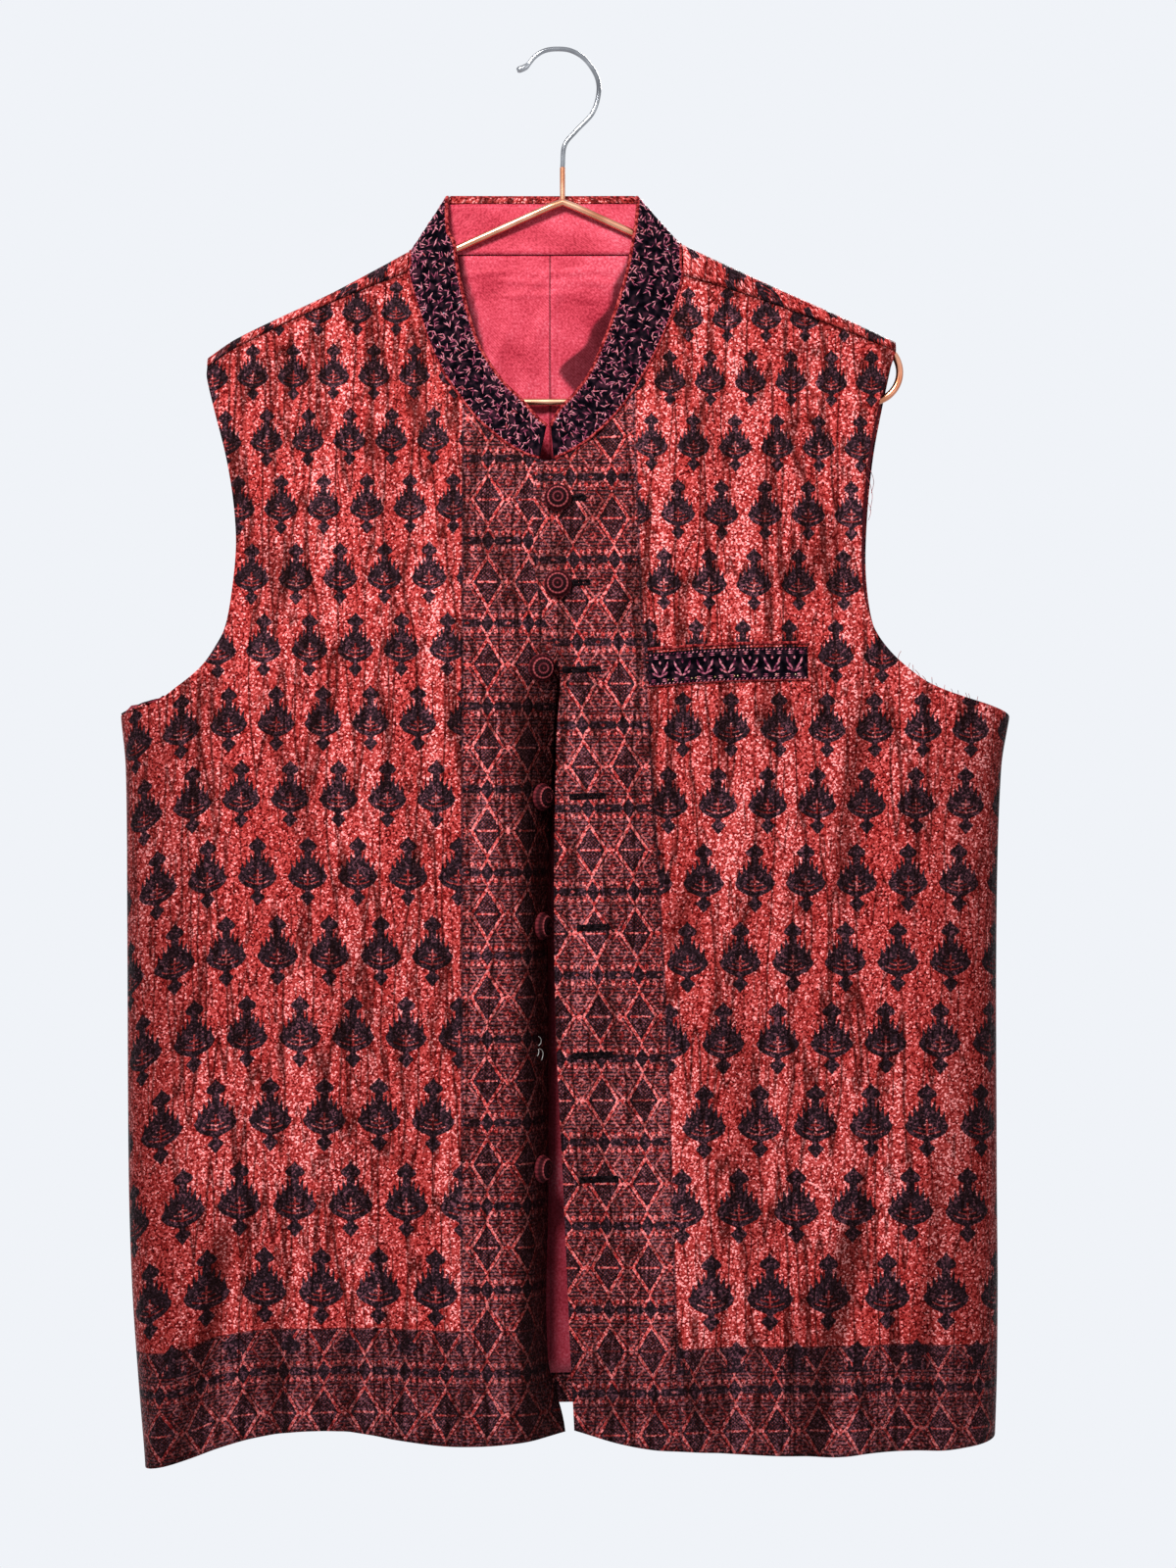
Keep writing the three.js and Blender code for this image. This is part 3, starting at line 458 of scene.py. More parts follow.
TIPS = SHOULDER_LEFT[0][0], SHOULDER_RIGHT[-1][0]
neck_shares = [(x - TIPS[0]) / (TIPS[1] - TIPS[0]) for x in (NECK_LEFT, NECK_RIGHT)]
back_columns = columns_of((0, neck_shares[0], 42), (neck_shares[0], neck_shares[1], 40), (neck_shares[1], 1, 42))


def back_net():
    s, t = np.meshgrid(back_columns, np.linspace(0, 1, 181))
    flat = CUTS["back"](s, t)
    top = flat[-1]
    length = math.pi * FOLD_RADIUS + shoulder(top[:, 0])[1] - FOLD_RADIUS
    wraps = [np.stack([top[:, 0], top[:, 1] + length * k / 10], -1) for k in range(1, 11)]
    flat = np.concatenate([flat, wraps])
    points = back(flat[..., 0], flat[..., 1])
    normal = normals_of(points)
    normal = normal if normal[60:120, :, 1].mean() > 0 else -normal
    return points + normal * relief_of("back")(flat[..., 0], flat[..., 1])[..., None], flat


back_points, back_flat = back_net()
in_neck = lambda j, i: j >= 180 and 42 <= i < 82
meshes = {
    "left_front": net_mesh("left_front", left_points, left_flat, (0, -1, 0)),
    "right_front": net_mesh("right_front", right_points, right_flat, (0, -1, 0)),
    "back": net_mesh("back", back_points, back_flat, (0, 1, 0), drop=in_neck),
}
cloths = {
    name: piece(name + "_cloth", mesh, "brocade", [name], CLOTH_WALL) for name, mesh in meshes.items()
}
for name, mesh in meshes.items():
    print(name, len(mesh.vertices), "points")

# %% [markdown]
# ## The lining
#
# Satin lines the back. Its edges are drawn in a little from the brocade's, as a tailor bags a lining
# out, and it has shallow wrinkles of its own because it is cut with ease.

# %% Satin inside the back
def lining_net():
    low_rows = np.linspace(0.4 / 19, 0.82, 70, endpoint=False)
    s, t = np.meshgrid(columns_of((0, 0.32, 20), (0.32, 0.68, 80), (0.68, 1, 20)),
                       np.concatenate([low_rows, np.linspace(0.82, 0.9995, 80)]))
    inset = 0.045 / 4 * np.where(t > 10 / 19, 0.25, 0.6)
    s = inset + s * (1 - 2 * inset)
    flat = CUTS["back"](s, t)
    points = back(flat[..., 0], flat[..., 1])
    normal = normals_of(points)
    normal = normal if normal[..., 1].mean() > 0 else -normal
    u, v = flat[..., 0], flat[..., 1]
    relief = np.zeros_like(u)
    for x, z, tilt, half, run, deep in (
        (-6, -165, 0.5, 4, 26, 0.7), (-36, -190, 0.35, 3.5, 24, 0.8), (22, -180, -0.5, 3.5, 26, 1.0),
        (-20, -216, 0.2, 4, 30, 0.9), (10, -240, -0.15, 4, 40, 1.0), (-50, -225, 0.3, 4, 30, 0.8),
        (34, -205, -0.75, 3, 16, 0.9), (44, -160, -0.9, 3, 14, 0.8), (-62, -165, 0.7, 3, 16, 0.8),
        (-14, -146, 1.3, 3, 8, 0.6), (26, -144, -1.5, 3, 8, 0.6), (-3, -210, 0.04, 1.6, 80, 1.2),
        (0, -420, 0.1, 9, 120, 1.2), (60, -520, 0.1, 10, 140, 1.2), (-80, -500, -0.1, 10, 140, 1.2),
        (30, -700, 0.05, 9, 120, 1.4), (-30, -640, -0.05, 9, 140, 1.2), (140, -600, 0.1, 10, 160, 1.2),
        # crumples lying along the neck seam
        (-46, -139, 7, 16, 2.6, 0.8), (-22, -144, -9, 19, 2.2, 0.7), (10, -138, 8, 17, 2.2, 0.8),
        (32, -145, -7, 15, 2.6, 0.7), (-6, -152, 12, 25, 1.8, 0.6), (22, -155, -8, 18, 2.0, 0.5),
    ):
        off = (u - x) - tilt * (v - z)
        relief = relief + deep * np.exp(-((off / half) ** 2) - ((v - z) / run) ** 2)
    lift = -CLOTH_WALL - GAP + relief_of("back")(u, v) - relief
    return points + normal * lift[..., None], flat


lining_points, lining_flat = lining_net()
lining = piece(
    "back_lining_satin", net_mesh("back_lining", lining_points, lining_flat, (0, 1, 0)), "lining_satin",
    ["back_lining"], LINING_WALL)
print("lining:", len(lining.data.vertices), "points")

# %% [markdown]
# ## The band collar
#
# A stiffened band stands round the neck. It is sewn to the neck seam below and ends in a free edge
# above. Both edges are taken station by station round the neck, and the band is the net between them.

# %% Collar edges
COLLAR_TOPS = {
    "right_front": [(-5.5, -237.5), (-12, -232), (-21, -221.5), (-32.5, -210), (-41, -198), (-48.5, -185),
                    (-53.5, -170), (-58, -154), (-61.5, -138), (-64, -121)],
    "left_front": [(-2.8, -238), (3.7, -227), (12.3, -217.5), (22, -203.5), (30, -184.5), (37, -166),
                   (43.7, -145), (47, -130), (49.5, -116)],
}
TOP_Z, TOP_LEFT, TOP_RIGHT, TOP_DEPTH, TOP_FRONT = -90.5, -69, 52, 7.5, 9.5


def collar_edges():
    def front_part(name, surface):
        seams = [surface(np.array(float(x)), np.array(float(z))) for x, z in NECKS[name][1:]]
        count = len(seams) - 1
        tops = [(x, mix(seam[1] + 2, -TOP_FRONT, (k / count) ** 2), z)
                for k, (seam, (x, z)) in enumerate(zip(seams, COLLAR_TOPS[name]))]
        return list(zip(seams, tops))

    def wrap_part(x, side, front_top):
        found = []
        fold, drop = (float(value) for value in shoulder(x))
        for share in (5 / 6, 4 / 6, 3 / 6, 2 / 6, 1 / 6):
            length = math.pi * FOLD_RADIUS + drop - FOLD_RADIUS
            seam = back(np.array(float(x)), np.array(fold - FOLD_RADIUS + length * share)).copy()
            seam[0] -= side * 3 * GAP
            turn = (0.5 - share) * math.pi
            depth = (TOP_FRONT if turn < 0 else TOP_DEPTH) * math.sin(turn)
            top_x = (TOP_LEFT if side < 0 else TOP_RIGHT) - side * 3 * (1 - math.cos(turn))
            found.append((seam, (top_x, depth, mix(front_top, TOP_Z, float(ease(1.7 * (1 - share)))))))
        return found

    back_part = []
    for s in np.linspace(0, 1, 11):
        x = mix(NECK_LEFT, NECK_RIGHT, s)
        seam = back(np.array(x), back_top(np.array(x))).copy()
        seam[0] *= 1 - GAP / 80
        top_x = mix(TOP_LEFT + 3, TOP_RIGHT - 3, s)
        back_part.append((seam, (top_x, TOP_DEPTH + 0.8 * math.sin(math.pi * s), TOP_Z)))
    stations = (
        front_part("right_front", right_front)
        + wrap_part(NECK_LEFT, -1, COLLAR_TOPS["right_front"][-1][1])
        + back_part
        + wrap_part(NECK_RIGHT, 1, COLLAR_TOPS["left_front"][-1][1])[::-1]
        + front_part("left_front", left_front)[::-1]
    )
    seams, tops = (np.array([station[k] for station in stations], float) for k in (0, 1))
    rise = tops - seams
    return seams + GAP * rise / np.linalg.norm(rise, axis=1, keepdims=True), tops


collar_low, collar_high = collar_edges()
print("collar stations:", len(collar_low))

# %% Collar band and its lining
STATIONS = len(collar_low) - 1


def collar_point(station, share, lift=0.0):
    """A place on the collar: station along it, share of its height, lift off it in mm, and its normal."""
    low, high = through(collar_low, station), through(collar_high, station)
    step = 0.05
    ahead = mix(through(collar_low, station + step), through(collar_high, station + step), share[..., None])
    behind = mix(through(collar_low, station - step), through(collar_high, station - step), share[..., None])
    point = mix(low, high, share[..., None])
    normal = np.cross(high - low, ahead - behind)
    normal[..., 2] = 0
    normal = normal / np.linalg.norm(normal, axis=-1, keepdims=True)
    return point + normal * np.asarray(lift)[..., None], normal


def band(name, share_from, share_to, lift, station_from=0.0, station_to=None, count=300):
    stations, shares = np.meshgrid(
        np.linspace(station_from, STATIONS if station_to is None else station_to, count),
        np.linspace(share_from, share_to, 13))
    points, _ = collar_point(stations, shares, lift)
    middle = points[6]
    run = np.concatenate([[0], np.cumsum(np.linalg.norm(np.diff(middle, axis=0), axis=1))])
    flat = np.stack([np.broadcast_to(run, stations.shape), shares * 40], -1)
    mesh = net_mesh(name, points, flat, (0, -1, 0))
    bm = bmesh.new()
    bm.from_mesh(mesh)
    centre = Vector((-0.008, 0.0, -0.15))
    outward = sum((f.normal.dot(f.calc_center_median() - centre) for f in bm.faces))
    if outward < 0:
        bmesh.ops.reverse_faces(bm, faces=bm.faces[:])
        bm.to_mesh(mesh)
    bm.free()
    return mesh


collar = piece("collar_band", band("collar", 0, 1, 0.0), "embroidered_trim", ["collar"], COLLAR_WALL)
collar_satin = piece(
    "collar_lining_satin", band("collar_lining", 0.0, 0.88, -COLLAR_WALL - GAP), "lining_satin",
    ["collar_lining"], LINING_WALL)
collar_facing = piece(
    "collar_facing_strip", band("collar_facing", 0.895, 0.99, -COLLAR_WALL - 0.1), "brocade", (), 1.2)
print("collar:", len(collar.data.vertices), "points")

# %% [markdown]
# ## Finishes
#
# A material is a small net of nodes. One function adds a node, sets it and links it, and every colour
# goes through one function from its screen value to the linear one that light is reckoned in.

# %% Adding nodes
def linear(code, dim=1.0):
    values = [int(code[k : k + 2], 16) / 255 for k in (1, 3, 5)]
    return [dim * (c / 12.92 if c <= 0.04045 else ((c + 0.055) / 1.055) ** 2.4) for c in values] + [1.0]


def finish(name):
    material = bpy.data.materials.new(name)
    material.use_nodes = True
    tree = material.node_tree
    tree.nodes.clear()

    def add(kind, *inputs, named=None, stops=None, points=None, **settings):
        node = tree.nodes.new("ShaderNode" + kind)
        for key, value in settings.items():
            setattr(node, key, value)
        if stops:
            ramp = node.color_ramp
            while len(ramp.elements) < len(stops):
                ramp.elements.new(1.0)
            for element, (place, colour) in zip(ramp.elements, stops):
                element.position, element.color = place, colour
        if points:
            curve = node.mapping.curves[0]
            while len(curve.points) < len(points):
                curve.points.new(0.5, 0.5)
            for point, spot in zip(curve.points, points):
                point.location, point.handle_type = spot, "VECTOR"
            node.mapping.update()
        for socket, value in [*enumerate(inputs), *(named or {}).items()]:
            slot = node.inputs[socket]
            if isinstance(value, bpy.types.Node):
                tree.links.new(value.outputs[0], slot)
            elif isinstance(value, bpy.types.NodeSocket):
                tree.links.new(value, slot)
            elif value is not None:
                slot.default_value = value
        return node

    return material, add


# %% [markdown]
# ## Brocade
#
# The cloth is a crushed jacquard: red and pink slub with dark flame-shaped buds, and along the front
# edges and the hem a border of lozenges. A jacquard is woven to a chart, so the pattern is charted too:
# one UV map numbers the columns of buds across and gives the place within a row, and another counts
# lozenges in from the border's edge. The crushed cloth narrows upwards, so rows and columns do as well.

# %% The chart of the cloth
ROWS = 17


def bud_rows(first, apart, wider, pitch, broader, line):
    """Height, place of one column and pitch of the columns for each row; each row steps half a pitch."""
    k = np.arange(ROWS)
    pitches = pitch + broader * k
    heights = -(first + apart * k + wider * k * (k - 1) / 2)
    return np.stack([heights, smooth(line, k) + k % 2 / 2 * pitches, pitches], -1)


# Depth of the first row, rows apart and how much more each time; pitch of the columns and how much more each
# row; and the leaning line that the columns are counted from, as (row, place).
BUD_ROWS = {
    "right_front": bud_rows(
        first=124, apart=39, wider=1.1, pitch=23.6, broader=0.84,
        line=[(0, -63), (5, -64), (9, -75), (16, -72)]),
    "left_front": bud_rows(
        first=128, apart=39, wider=1.1, pitch=23.4, broader=0.92,
        line=[(0, 70), (4, 76), (13, 131), (16, 128)]),
    "back": bud_rows(
        first=88, apart=41, wider=1.8, pitch=23.4, broader=0.9, line=[(0, 6), (8, -40), (16, -144)]),
}
BORDER_LINE = {"right_front": [(-890, -57.2), (-230, -57.2)],
               "left_front": [(-860, 77.4), (-808, 75), (-577, 67), (-362, 54.1), (-238, 49.2)]}
HEM_TOP = {
    "right_front": [(-280, -814), (-232, -810), (-205, -801), (-160, -796), (-40, -796), (10, -796)],
    "left_front": [(0, -808), (290, -806)],
    "back": [(-290, -812), (-200, -804), (0, -798), (200, -802), (290, -806)],
}
LOZENGE = (25.2, 51.2)


def shade_of(name, u, v):
    """How much painted shade a place gets, from 0 to 1: in its own folds, towards the sides below the armholes,
    beside the shoulder seam, and on the right front's turned-in curl.
    """
    deep = ease(-relief_of(name)(u, v) / 2.6)
    fold, drop = shoulder(u)
    side = np.where(u < 0, smooth(SIDE_LEFT, v), smooth(SIDE_RIGHT, v))
    beside = np.where(u < 0, 0.66, 0.80) * ease((np.abs(u) - side + 66) / 62) * ease((-380 - v) / 60)
    if name == "back":
        past = (fold - FOLD_RADIUS + math.pi * FOLD_RADIUS + drop - FOLD_RADIUS - v) / 1.6
    else:
        past = (fold - drop - v) / 2.4
    seam = np.where((u > NECK_LEFT) & (u < NECK_RIGHT), 0, np.exp(-(past**2)))
    shade = np.maximum(np.maximum(deep, beside), seam)
    if name != "right_front":
        return shade
    hinge, curl = np.moveaxis(smooth(HINGE, v), -1, 0)
    turned = ease((u - hinge - CURL_FLAT + 6) / 11) * ease(curl / 0.5)
    return np.maximum(shade, turned * 1.18)


def chart(name, mesh):
    corners = np.zeros(len(mesh.loops) * 2, np.float32)
    mesh.uv_layers["cut"].uv.foreach_get("vector", corners)
    u, v = corners.reshape(-1, 2).astype(float).T / MM
    heights, column_at, pitches = np.array(BUD_ROWS[name]).T
    droop = 13 * np.clip((-u - 187) / 71, 0, 1.3) ** 2 if name == "right_front" else 0
    row = np.interp(-(v + droop), -heights, np.arange(len(heights)))
    nearest = np.rint(row.reshape(-1, 4).mean(1)).astype(int).repeat(4)
    way = -1 if name == "right_front" else 1
    column = way * (u - column_at[nearest]) / pitches[nearest]
    set_uv(mesh, "motif", np.stack([column, nearest - row], -1))
    if name == "back":
        inward = u / LOZENGE[0] - 60.38
    else:
        inward = way * -(u - smooth(BORDER_LINE[name], v)) / LOZENGE[0]
    up = (v - smooth(HEM_TOP[name], u)) / LOZENGE[1]
    set_uv(mesh, "border", np.stack([inward, up], -1))
    set_uv(mesh, "shade", np.stack([shade_of(name, u, v), np.zeros_like(u)], -1))


for name, mesh in meshes.items():
    chart(name, mesh)
print("rows of buds:", {name: len(rows) for name, rows in BUD_ROWS.items()})

# %% [markdown]
# The bud is drawn by two curves. One gives its half width at each height: tip, bud, neck, flower, foot.
# The other cuts the flower's top into flames. Slub is a cell texture with cells about 1.2 mm wide, a
# little over the real slub, which would blur into one colour. Crushing shows as thin lines of painted shade
# that wander down the cloth 10 to 20 mm apart.

# %% Brocade finish
DIM = 0.48  # the panels and the room together give more than white light, so colours are entered darker


def brocade_finish():
    material, add = finish("crushed_jacquard_brocade_woven")
    cut = add("UVMap", uv_map="cut")
    slub = add("TexVoronoi", named={"Vector": cut, "Scale": 1 / 0.00098}, voronoi_dimensions="2D")
    cell = add("SeparateColor", slub.outputs["Color"])
    fine = add("TexNoise", named={"Vector": cut, "Scale": 1 / 0.0016, "Detail": 1.0}, noise_dimensions="2D")
    broad = add("TexNoise", named={"Vector": cut, "Scale": 1 / 0.016, "Detail": 2.0}, noise_dimensions="2D")
    stretched = add("Mapping", named={"Vector": cut, "Scale": (1 / 0.021, 1 / 0.21, 1)})
    waves = add("TexNoise", named={"Vector": stretched, "Scale": 1.0, "Detail": 2.0, "Roughness": 0.6},
                noise_dimensions="2D")
    mottle = add("Math", broad, 0.14, add("Math", waves, 0.38, -0.26, operation="MULTIPLY_ADD"),
                 operation="MULTIPLY_ADD")
    grain = add("Math", cell, 0.80, add("Math", fine, 0.40, operation="MULTIPLY"), operation="MULTIPLY_ADD")
    value = add("Math", grain, mottle, operation="ADD", use_clamp=True)
    # The palest grains are partly the slub's own pale thread and partly painted glint of metallic thread: the top
    # stop goes past white.
    ground = add("ValToRGB", value, stops=[
        (0.10, linear("#3c0509", DIM)), (0.32, linear("#96191b", DIM)), (0.52, linear("#cf3c38", DIM)),
        (0.70, linear("#e65450", DIM)), (0.86, linear("#ff6c6a", 1.15 * DIM)),
        (1.0, linear("#ffa09e", 2.2 * DIM))])
    pink = add("ValToRGB", value, stops=[
        (0.10, linear("#4c080c", DIM)), (0.34, linear("#bc2a2c", DIM)), (0.60, linear("#f65a56", 1.1 * DIM)),
        (0.92, linear("#ff9290", 1.8 * DIM))])
    dark = add("ValToRGB", value, stops=[
        (0.15, linear("#0f080c", DIM)), (0.55, linear("#261c23", DIM)), (0.82, linear("#402c36", DIM)),
        (1.0, linear("#8c5462", DIM))])

    # Buds: x from the middle of a column, y up from the middle of a row, both in pitches.
    motif = add("SeparateXYZ", add("UVMap", uv_map="motif"))
    ragged = add("Math", add("TexNoise", named={"Vector": cut, "Scale": 1 / 0.0022}, noise_dimensions="2D"),
                 0.5, operation="SUBTRACT")
    column = add("Math", ragged, 0.032, motif, operation="MULTIPLY_ADD")
    off = add("Math", column, add("Math", column, operation="ROUND"), operation="SUBTRACT")
    x = add("Math", off, operation="ABSOLUTE")
    y = add("Math", ragged, -0.018, motif.outputs[1], operation="MULTIPLY_ADD")
    height = add("Math", y, 0.5, operation="ADD")
    half = add("FloatCurve", named={"Value": height}, points=[
        (0.0, 0.0), (0.075, 0.0), (0.10, 0.04), (0.15, 0.10), (0.18, 0.15), (0.205, 0.14), (0.245, 0.06),
        (0.27, 0.055), (0.29, 0.12), (0.32, 0.23), (0.36, 0.32), (0.42, 0.385), (0.47, 0.40), (0.62, 0.40),
        (0.765, 0.39), (0.772, 0.05), (0.785, 0.11), (0.81, 0.165), (0.84, 0.18), (0.875, 0.15),
        (0.91, 0.08), (0.94, 0.035), (0.975, 0.0), (1.0, 0.0)])
    # the flames lean outward, so their curve is read at a place that moves out with the height
    leaning = add("Math", add("Math", height, 0.5, operation="SUBTRACT"), -0.16, x, operation="MULTIPLY_ADD")
    flames = add("FloatCurve", named={"Value": leaning}, points=[
        (0.0, 0.79), (0.028, 0.79), (0.044, 0.69), (0.060, 0.675), (0.088, 0.75), (0.104, 0.76), (0.128, 0.64),
        (0.152, 0.62), (0.185, 0.69), (0.200, 0.70), (0.226, 0.58), (0.252, 0.56), (0.285, 0.62),
        (0.300, 0.63), (0.328, 0.525), (0.36, 0.49), (0.42, 0.45), (0.5, 0.44), (1.0, 0.44)])
    inside = add("Math", add("Math", half, x, operation="SUBTRACT"), 60.0, 0.5, operation="MULTIPLY_ADD",
                 use_clamp=True)
    under_flame = add("Math", flames, height, operation="SUBTRACT")
    over_neck = add("Math", height, 0.77, operation="SUBTRACT")
    open_top = add("Math", under_flame, over_neck, operation="MAXIMUM")
    topped = add("Math", open_top, 60.0, 0.5, operation="MULTIPLY_ADD", use_clamp=True)
    bud = add("Math", inside, topped, operation="MULTIPLY")

    # A little red stem with a cross bar and two arcs stands open inside each flower.
    stem = add("Math", add("Math", x, 0.0, 0.018, operation="COMPARE"),
               add("Math", y, -0.06, 0.10, operation="COMPARE"), operation="MULTIPLY")
    bar = add("Math", add("Math", x, 0.0, 0.085, operation="COMPARE"),
              add("Math", y, -0.035, 0.012, operation="COMPARE"), operation="MULTIPLY")
    square = add("Math", x, x, operation="MULTIPLY")
    arcs = []
    for rise, low, reach in ((1.0, -0.09, 0.16), (0.70, -0.145, 0.24)):
        arc = add("Math", square, rise, low, operation="MULTIPLY_ADD")
        on_arc = add("Math", y, arc, 0.0085, operation="COMPARE")
        arcs.append(add("Math", on_arc, add("Math", x, reach, operation="LESS_THAN"), operation="MULTIPLY"))
    open_lines = add("Math", add("Math", stem, bar, operation="MAXIMUM"),
                     add("Math", *arcs, operation="MAXIMUM"), operation="MAXIMUM")
    drawn = add("Math", bud, add("Math", open_lines, -0.55, 1.0, operation="MULTIPLY_ADD"), operation="MULTIPLY")

    # Border: a lattice of lozenges, hexagons and small squares, counted from the border's edge and hem line.
    border = add("SeparateXYZ", add("UVMap", uv_map="border"))
    across = add("Math", add("Math", ragged, 0.05, border, operation="MULTIPLY_ADD"), 0.62, operation="SUBTRACT")
    a = add("Math", add("Math", across, add("Math", across, operation="ROUND"), operation="SUBTRACT"),
            operation="ABSOLUTE")
    upward = add("Math", ragged, 0.02, border.outputs[1], operation="MULTIPLY_ADD")
    b = add("Math", add("Math", upward, add("Math", upward, operation="ROUND"), operation="SUBTRACT"),
            operation="ABSOLUTE")
    lozenge = add("Math", a, 1 / 0.34, add("Math", b, 1 / 0.27, operation="MULTIPLY"), operation="MULTIPLY_ADD")
    side = add("Math", 0.5, a, operation="SUBTRACT")
    from_bar = add("Math", 0.5, b, operation="SUBTRACT")
    small = add("Math", a, 1 / 0.17, add("Math", from_bar, 1 / 0.13, operation="MULTIPLY"),
                operation="MULTIPLY_ADD")
    outline = add("Math", lozenge, 1.14, 0.125, operation="COMPARE")
    rim = add("Math", small, 1.20, 0.19, operation="COMPARE")
    knot = add("Math", add("Math", side, 1 / 0.12, add("Math", b, 1 / 0.04, operation="MULTIPLY"),
               operation="MULTIPLY_ADD"), 1.0, operation="LESS_THAN")
    across_it = add("Math", add("Math", b, 0.0, 0.011, operation="COMPARE"),
                    add("Math", a, 0.25, operation="LESS_THAN"), operation="MULTIPLY")
    hooks = add("Math", add("Math", from_bar, 0.098, 0.026, operation="COMPARE"),
                add("Math", add("Math", add("Math", a, 38.0, operation="MULTIPLY"), operation="SINE"),
                    -0.1, operation="GREATER_THAN"), operation="MULTIPLY")
    lines = add("Math", add("Math", outline, rim, operation="MAXIMUM"),
                add("Math", add("Math", knot, across_it, operation="MAXIMUM"), hooks, operation="MAXIMUM"),
                operation="MAXIMUM")
    # Between the columns: medallions hatched 2.2 mm apart round a small ring.
    hatch = add("Math", add("Math", b, 146.0, operation="MULTIPLY"), operation="SINE")
    rise = add("Math", add("Math", b, 0.215, operation="SUBTRACT"), operation="ABSOLUTE")
    round_it = add("Math", side, 1 / 0.30, add("Math", rise, 1 / 0.20, operation="MULTIPLY"),
                   operation="MULTIPLY_ADD")
    hatched = add("Math", add("Math", hatch, -0.1, operation="GREATER_THAN"),
                  add("Math", lozenge, 1.33, operation="GREATER_THAN"), operation="MULTIPLY")
    eye = add("Math", round_it, 0.22, 0.10, operation="COMPARE")
    ringed = add("Math", round_it, 0.95, 0.09, operation="COMPARE")
    # The bars between the rows of lozenges are plain black, with a light lens in the middle of each.
    in_bar = add("Math", add("Math", from_bar, 0.030, operation="LESS_THAN"),
                 add("Math", a, 0.16, operation="GREATER_THAN"), operation="MULTIPLY")
    lens = add("Math", add("Math", side, 1 / 0.07, add("Math", from_bar, 1 / 0.02, operation="MULTIPLY"),
               operation="MULTIPLY_ADD"), 1.0, operation="LESS_THAN")
    dots = add("Math", add("Math", add("Math", a, 75.0, operation="MULTIPLY"), operation="COSINE"),
               add("Math", add("Math", b, 150.0, operation="MULTIPLY"), operation="COSINE"), operation="MULTIPLY")
    dotted = add("Math", add("Math", dots, 0.35, operation="GREATER_THAN"),
                 add("Math", lozenge, 0.9, operation="LESS_THAN"), operation="MULTIPLY")
    faint = add("Math", add("Math", hatched, 0.31, operation="MULTIPLY"),
                add("Math", dotted, 0.24, operation="MULTIPLY"), operation="MAXIMUM")
    rings = add("Math", add("Math", eye, ringed, operation="MAXIMUM"), 0.58, operation="MULTIPLY")
    woven = add("Math", add("Math", faint, rings, operation="MAXIMUM"), lines, operation="MAXIMUM")
    barred = add("Math", woven, add("Math", 1.0, in_bar, operation="SUBTRACT"), operation="MULTIPLY")
    inside_small = add("Math", small, 0.98, operation="GREATER_THAN")
    bright = add("Math", add("Math", barred, inside_small, operation="MULTIPLY"),
                 add("Math", lens, 0.6, operation="MULTIPLY"), operation="MAXIMUM")
    loose = add("Math", add("Math", fine, 0.60, operation="GREATER_THAN"), 0.35, operation="MULTIPLY")
    # Darker towards the hem: the hem's border keeps 30% less of its red, and some red lines drop out at random.
    less_red = add("Math", add("Math", border.outputs[1], 0.0, operation="LESS_THAN"), 0.30,
                 loose, operation="MULTIPLY_ADD")  # the hem's border shows less red than the fronts'
    kept = add("Math", bright, add("Math", 1.0, less_red, operation="SUBTRACT"), operation="MULTIPLY")
    bordered = add("Mix", named={0: kept, 6: dark, 7: pink}, data_type="RGBA").outputs[2]

    in_band = add("Math", border, 0.0, operation="GREATER_THAN")
    in_hem = add("Math", border.outputs[1], 0.0, operation="LESS_THAN")
    in_border = add("Math", in_band, in_hem, operation="MAXIMUM")
    edge = add("Math", add("Math", border, 0.0, 0.035, operation="COMPARE"),
               add("Math", border.outputs[1], 0.0, 0.012, operation="COMPARE"), operation="MAXIMUM")
    bud_here = add("Math", add("Math", 1.0, in_band, operation="SUBTRACT"),
                   add("Math", border.outputs[1], -0.30, operation="GREATER_THAN"), operation="MULTIPLY")
    cloth = add("Mix", named={0: in_border, 6: ground, 7: bordered}, data_type="RGBA").outputs[2]
    lined = add("Mix", named={0: add("Math", edge, 0.7, operation="MULTIPLY"), 6: cloth, 7: dark},
                data_type="RGBA").outputs[2]
    figured = add("Mix", named={0: add("Math", drawn, bud_here, operation="MULTIPLY"), 6: lined, 7: dark},
                  data_type="RGBA").outputs[2]

    # Crushing: contours of a noise stretched down the cloth give thin wandering lines of painted shade, also in
    # the bump.
    ridge = add("Math", add("Math", waves, 0.5, operation="SUBTRACT"), operation="ABSOLUTE")
    tight = add("Mapping", named={"Vector": cut, "Location": (3.1, 7.7, 0), "Scale": (1 / 0.009, 1 / 0.07, 1)})
    ripples = add("TexNoise", named={"Vector": tight, "Scale": 1.0, "Detail": 1.0}, noise_dimensions="2D")
    ripple = add("Math", add("Math", ripples, 0.5, operation="SUBTRACT"), operation="ABSOLUTE")
    crease = add("Math", ridge, -22.0, 1.0, operation="MULTIPLY_ADD", use_clamp=True)
    pucker = add("Math", ripple, -17.0, 0.9, operation="MULTIPLY_ADD", use_clamp=True)
    present = add("Math", broad, 6.0, -2.4, operation="MULTIPLY_ADD", use_clamp=True)
    fold_line = add("Math", crease, add("Math", pucker, present, operation="MULTIPLY"), operation="MAXIMUM")
    # The crush lines and the shade map both darken the colour: painted shade.
    shade = add("SeparateXYZ", add("UVMap", uv_map="shade"))
    darker = add("Math", add("Math", fold_line, 0.84, operation="MULTIPLY"),
                 add("Math", shade, 0.74, operation="MULTIPLY"), operation="MAXIMUM")
    kept_light = add("Math", 1.0, darker, operation="SUBTRACT")
    colour = add("VectorMath", figured, kept_light, operation="MULTIPLY")

